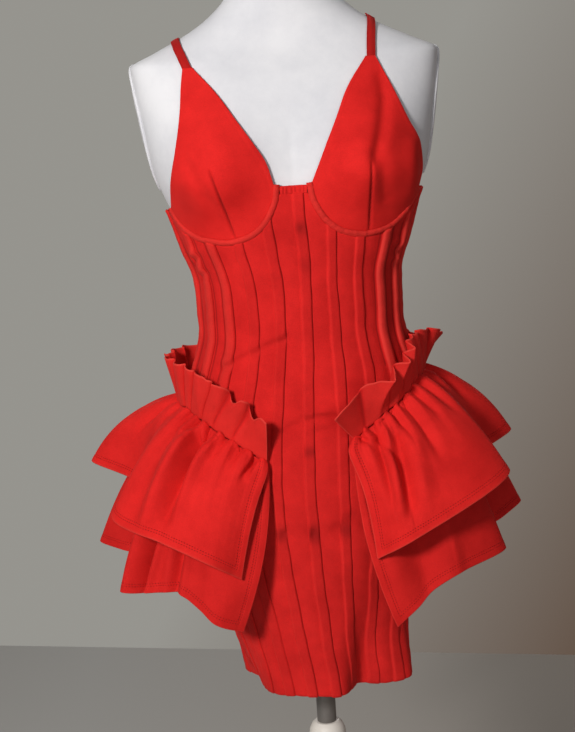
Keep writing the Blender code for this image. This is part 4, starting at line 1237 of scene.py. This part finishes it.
def add_topstitch(name, outer, normal, hem_away, row_length):
    """Rows of raised stitches beside a tier's front edge, hem and back edge."""
    points, faces = [], []
    back_away = row_length[:, -1:] - row_length
    for far in STITCH_ROWS:
        rows = [r for r in range(len(outer)) if hem_away[r].min() > far and r > 1]
        columns = [c for c in range(outer.shape[1]) if row_length[-1, c] > far and back_away[-1, c] > far]
        both = []
        for field in (outer, normal):
            front = edge_line(field[rows], row_length[rows], far)
            back = edge_line(field[rows][:, ::-1], back_away[rows][:, ::-1], far)
            flipped = field[::-1].transpose(1, 0, 2)[columns]
            hem = edge_line(flipped, hem_away[::-1].T[columns], far)
            both.append(np.concatenate([front, hem, back[::-1]]))
        line, ways = both
        length = way_along(line)
        starts = np.arange(2.0, length[-1] - STITCH_LENGTH, STITCH_PITCH)
        ends = [at_each(at, length, line) for at in (starts, starts + STITCH_LENGTH)]
        up = unit(at_each(starts, length, ways))
        side = np.cross(up, ends[1] - ends[0])
        side /= np.maximum(np.linalg.norm(side, axis=1, keepdims=True), 1e-9)
        middle = (ends[0] + ends[1]) / 2
        beside = side * STITCH_WIDTH / 2
        top, bottom = middle + up * STITCH_HEIGHT, middle - up * STITCH_SINK
        for stitch in zip(*ends, middle + beside, middle - beside, top, bottom):
            n = len(points)
            points += stitch
            for a, b in ((2, 4), (4, 3), (3, 5), (5, 2)):
                faces += [(n, n + a, n + b), (n + 1, n + b, n + a)]
    return settle(mesh_piece(f"{name}_topstitch", points, faces, None, THREAD), "red_knit")


def add_tiers():
    for name, side, bulge, inset, front_draw, front_puff in TIERS:
        place, share, down = tier_middle(name, side, bulge, inset, front_draw, front_puff)
        normal = normals_of(place) * -side
        place = place + normal * tier_relief(name, place, share, down)[..., None]
        normal = normals_of(place) * -side
        uv = uv_of(place)
        along_down = uv[..., 1]
        hem_away = along_down[-1:] - along_down
        row_length = way_along(place.transpose(1, 0, 2)).T
        edge_away = np.minimum(hem_away, np.minimum(row_length, row_length[:, -1:] - row_length))
        fold = HEM_FOLD * (1 - 1 / (1 + np.exp(-(edge_away - HEM_TURN) / 0.6)))
        groove = HEM_GROOVE * np.exp(-((edge_away - HEM_TURN + HEM_GROOVE_AWAY) ** 2))
        half = TIER_THICKNESS / 2
        outer = place + (half + fold + groove)[..., None] * normal
        # Painted highlight along the tiers' edges, away from the seam
        tone = TIER_EDGE_PAINTED_HIGHLIGHT * ease(-edge_away, -1.2, -0.1) * (along_down > 12.0)
        # Painted shade over the whole of each lower tier
        tone = tone - LOWER_TIER_PAINTED_SHADE * ("lower" in name)
        obj = cloth_shell(f"{name}_cloth", outer, place - half * normal, uv, TIER_KNIT, tone=tone)
        settle(obj, "red_knit", name)
        sewn = add_topstitch(name, outer, normal, hem_away, row_length)


# The form
PLATE_HEIGHT, PLATE_HALF_HEIGHT, PLATE_HALF_DEPTH, PLATE_BACK = 1262.0, 75.0, 38.0, 15.0
PLATE_RISE, PIPING_RADIUS, PIPING_SIDES = 2.4, 1.5, 10
FORM_SIDE_FROM, OFF_PLATE = 100, 9.0
FORM_TUCK, FORM_TOP_TUCK = (6.0, 2.0), (0.4, 2.0, 6.0)
PIPING_POINTS, PIPING_TURNS = 120, (0.10, 0.42)


def plate_share(points):
    """Below 1 inside a side's raised armhole plate, 1 at its edge."""
    x, y, z = points[..., 0], points[..., 1], points[..., 2]
    far = np.hypot((y - PLATE_BACK) / PLATE_HALF_DEPTH, (z - PLATE_HEIGHT) / PLATE_HALF_HEIGHT)
    return np.where(np.abs(x) > FORM_SIDE_FROM, far, OFF_PLATE)


def add_form():
    # The form's rings are far apart under the dress and closer above it
    heights = np.concatenate([
        [FORM_BOTTOM, FORM_BOTTOM + 1.5, FORM_BOTTOM + 4.0], np.arange(800.0, 1176.0, 8.0),
        np.arange(1176.0, 1466.0, 3.6), [1466.5, 1469.0, FORM_TOP],
    ])
    tuck = np.zeros(len(heights))
    tuck[:2] = FORM_TUCK
    tuck[-3:] = FORM_TOP_TUCK
    turn = np.arange(FORM_TURNS) / FORM_TURNS
    rings = surface(turn[None, :], heights[:, None], -tuck[:, None], FORM_TABLE, FORM_BUST)
    plate = PLATE_RISE * (1 - ease(plate_share(rings), 0.97, 1.03))
    rings = surface(turn[None, :], heights[:, None], plate - tuck[:, None], FORM_TABLE, FORM_BUST)
    obj = tube_piece("form_torso_cover", rings, JERSEY, uv_width=900.0)
    settle(obj, "white_jersey", "form_torso")
    for name, side in SIDES:
        add_piping(name, side)


def add_piping(name, side):
    """The covered cord round an armhole plate."""
    angle = 2 * math.pi * np.arange(PIPING_POINTS) / PIPING_POINTS
    turns = side * np.linspace(*PIPING_TURNS, 400)
    line = []
    for a in angle:
        height = PLATE_HEIGHT + PLATE_HALF_HEIGHT * math.sin(a)
        places = surface(turns, height, PLATE_RISE * 0.5, FORM_TABLE, FORM_BUST)
        wanted = PLATE_BACK + PLATE_HALF_DEPTH * math.cos(a)
        line.append([np.interp(wanted, places[:, 1], places[:, k]) for k in range(3)])
    line = np.array(line)
    along = unit(np.roll(line, -1, axis=0) - np.roll(line, 1, axis=0))
    aside = unit(np.array([1.0, 0.0, 0.0]) - along * along[:, :1])
    across = np.cross(along, aside)
    points = []
    for k in range(PIPING_SIDES):
        turn = 2 * math.pi * k / PIPING_SIDES
        points.append(line + PIPING_RADIUS * (math.cos(turn) * aside + math.sin(turn) * across))
    points = np.array(points).transpose(1, 0, 2).reshape(-1, 3)
    faces = tube_faces(len(line), PIPING_SIDES, closed=True)
    settle(mesh_piece(f"form_piping_{name}", points, faces, None, JERSEY), "white_jersey")


# The least angle, in degrees, that a turned edge keeps sharp
SHARP_FROM = 38
# Profiles of the turned wood: radius and height
COLUMN_PROFILE = (
    (30, 20.3), (30, 26), (22, 44), (17, 60), (17, 300), (19, 440), (23, 470), (19, 482),
    (21, 492), (23, 502), (20, 513), (15, COLUMN_TOP),
)
BASE_PROFILE = (
    (BASE_RADIUS - 3, 0), (BASE_RADIUS - 1, 0.8), (BASE_RADIUS, 3), (BASE_RADIUS, 13),
    (BASE_RADIUS - 1.2, 16), (BASE_RADIUS - 4, 18.6), (BASE_RADIUS - 8, 20),
)


def turned(name, profile, sides, material, slot):
    """A turned piece from its profile of radius and height, closed on the axis at both ends."""
    angle = 2 * math.pi * np.arange(sides) / sides
    rings = [np.column_stack([r * np.cos(angle), r * np.sin(angle), np.full(sides, float(h))])
             for r, h in profile]
    obj = tube_piece(f"{name}_turned", rings, material, uv_width=100.0)
    obj.data.set_sharp_from_angle(angle=math.radians(SHARP_FROM))
    return settle(obj, slot, name)


def add_stand():
    pole = ((POLE_RADIUS, COLUMN_TOP + SEAM_GAP), (POLE_RADIUS, FORM_BOTTOM - SEAM_GAP))
    column = path_through(COLUMN_PROFILE, count=90)
    turned("form_pole", pole, sides=64, material=STEEL, slot="grey_steel")
    turned("form_column", column, sides=64, material=WOOD, slot="white_wood")
    turned("form_base", BASE_PROFILE, sides=128, material=WOOD, slot="white_wood")


# Camera, floor and light
CAMERA_PLACE = (-0.0196, -1.85, 1.3535)
CAMERA_TILT, CAMERA_ROLL = 90 - 11.62, -3.87
SENSOR_WIDTH = 36.0
# The focal length against the picture's height
FOCAL_SHARE = 1579.0 / 732.0
# The grey of the wall, its painted shade that is darker and browner on the right, the room behind the
# camera, and the floor's grey and its painted shade
WALL_GREY, WALL_PAINTED_SHADE = (0.305, 0.297, 0.272), (0.125, 0.085, 0.062)
ROOM_GREY = (0.110, 0.107, 0.103)
FLOOR_GREY, FLOOR_PAINTED_SHADE = (0.46, 0.45, 0.43), (0.355, 0.31, 0.27)
FLOOR_CORNERS = ((-3, -4, 0), (3, -4, 0), (3, 0.854, 0), (-3, 2.186, 0))
FLOOR_SPAN, FLOOR_ROUGHNESS = (-0.5, 0.6), 0.9
# Where the wall goes over from grey to its painted shade, and where the wall goes over into the room
WALL_SLOPE, WALL_SPAN, ROOM_SPAN = -0.6, (0.12, 0.40), (-0.3, 0.6)
# Lights: name, place, aim, size, power, colour
LIGHTS = (
    ("key", (-1.0, -2.0, 1.88), (0, 0, 1.05), 0.42, 55.0, (1.0, 0.985, 0.96)),
    ("fill", (0.9, -2.15, 1.5), (0, 0, 1.0), 1.3, 8.0, (0.98, 0.98, 1.0)),
    ("top", (0.2, 0.6, 2.7), (0, 0, 1.2), 1.2, 3.0, (0.96, 0.98, 1.0)),
    ("back", (0.5, 2.6, 1.5), (0, 0, 1.0), 1.6, 9.0, (0.98, 0.98, 1.0)),
)


def add_camera():
    data = bpy.data.cameras.new("view")
    data.sensor_width = SENSOR_WIDTH
    data.lens = FOCAL_SHARE * SENSOR_WIDTH
    cam = bpy.data.objects.new("view", data)
    cam.matrix_world = (
        Matrix.Translation(CAMERA_PLACE)
        @ Matrix.Rotation(math.radians(CAMERA_TILT), 4, "X")
        @ Matrix.Rotation(math.radians(CAMERA_ROLL), 4, "Z")
    )
    bpy.context.scene.collection.objects.link(cam)
    bpy.context.scene.camera = cam


def add_room():
    """A grey wall with painted shade, darker and browner low on the right, and a dim room on the near side.
    """
    world = bpy.data.worlds.new("studio")
    world.use_nodes = True
    tree = world.node_tree
    ways = place_in(tree, "Generated")
    x, y, z = (node(tree, "ShaderNodeSeparateXYZ", axis, {"Vector": ways}) for axis in "XYZ")
    low_right = calculated(tree, "MULTIPLY_ADD", z, WALL_SLOPE, x)
    # Painted shade: the wall is darker and browner low on the right
    wall = mixed(tree, span(tree, low_right, WALL_SPAN), WALL_GREY, WALL_PAINTED_SHADE)
    behind = span(tree, y, ROOM_SPAN, smooth="SMOOTHSTEP")
    fill(tree, tree.nodes["Background"], {"Color": mixed(tree, behind, ROOM_GREY, wall), "Strength": 1.0})
    bpy.context.scene.world = world
    bpy.context.scene.view_settings.view_transform = "Standard"


def add_floor():
    mesh = bpy.data.meshes.new("floor")
    mesh.from_pydata(FLOOR_CORNERS, [], [(0, 1, 2, 3)])
    floor = bpy.data.objects.new("floor", mesh)
    bpy.context.scene.collection.objects.link(floor)
    paint, tree, shader = new_material("floor_paint")
    across = node(tree, "ShaderNodeSeparateXYZ", "X", {"Vector": place_in(tree)})
    # Painted shade: the floor is darker and browner towards +X
    tint = mixed(tree, span(tree, across, FLOOR_SPAN), FLOOR_GREY, FLOOR_PAINTED_SHADE)
    fill(tree, shader, {"Base Color": tint, "Roughness": FLOOR_ROUGHNESS})
    mesh.materials.append(paint)


def add_lights():
    for name, place, aim, size, power, colour in LIGHTS:
        data = bpy.data.lights.new(name, "AREA")
        data.shape = "DISK"
        data.size = size
        data.energy = power
        data.color = colour
        obj = bpy.data.objects.new(name, data)
        obj.location = place
        obj.rotation_euler = (Vector(aim) - Vector(place)).to_track_quat("-Z", "Y").to_euler()
        bpy.context.scene.collection.objects.link(obj)


add_camera()
add_room()
add_floor()
add_lights()
add_form()
add_stand()
add_panels()
add_cups()
add_wire_channels()
add_bridge_binding()
add_straps()
add_headers()
add_tiers()
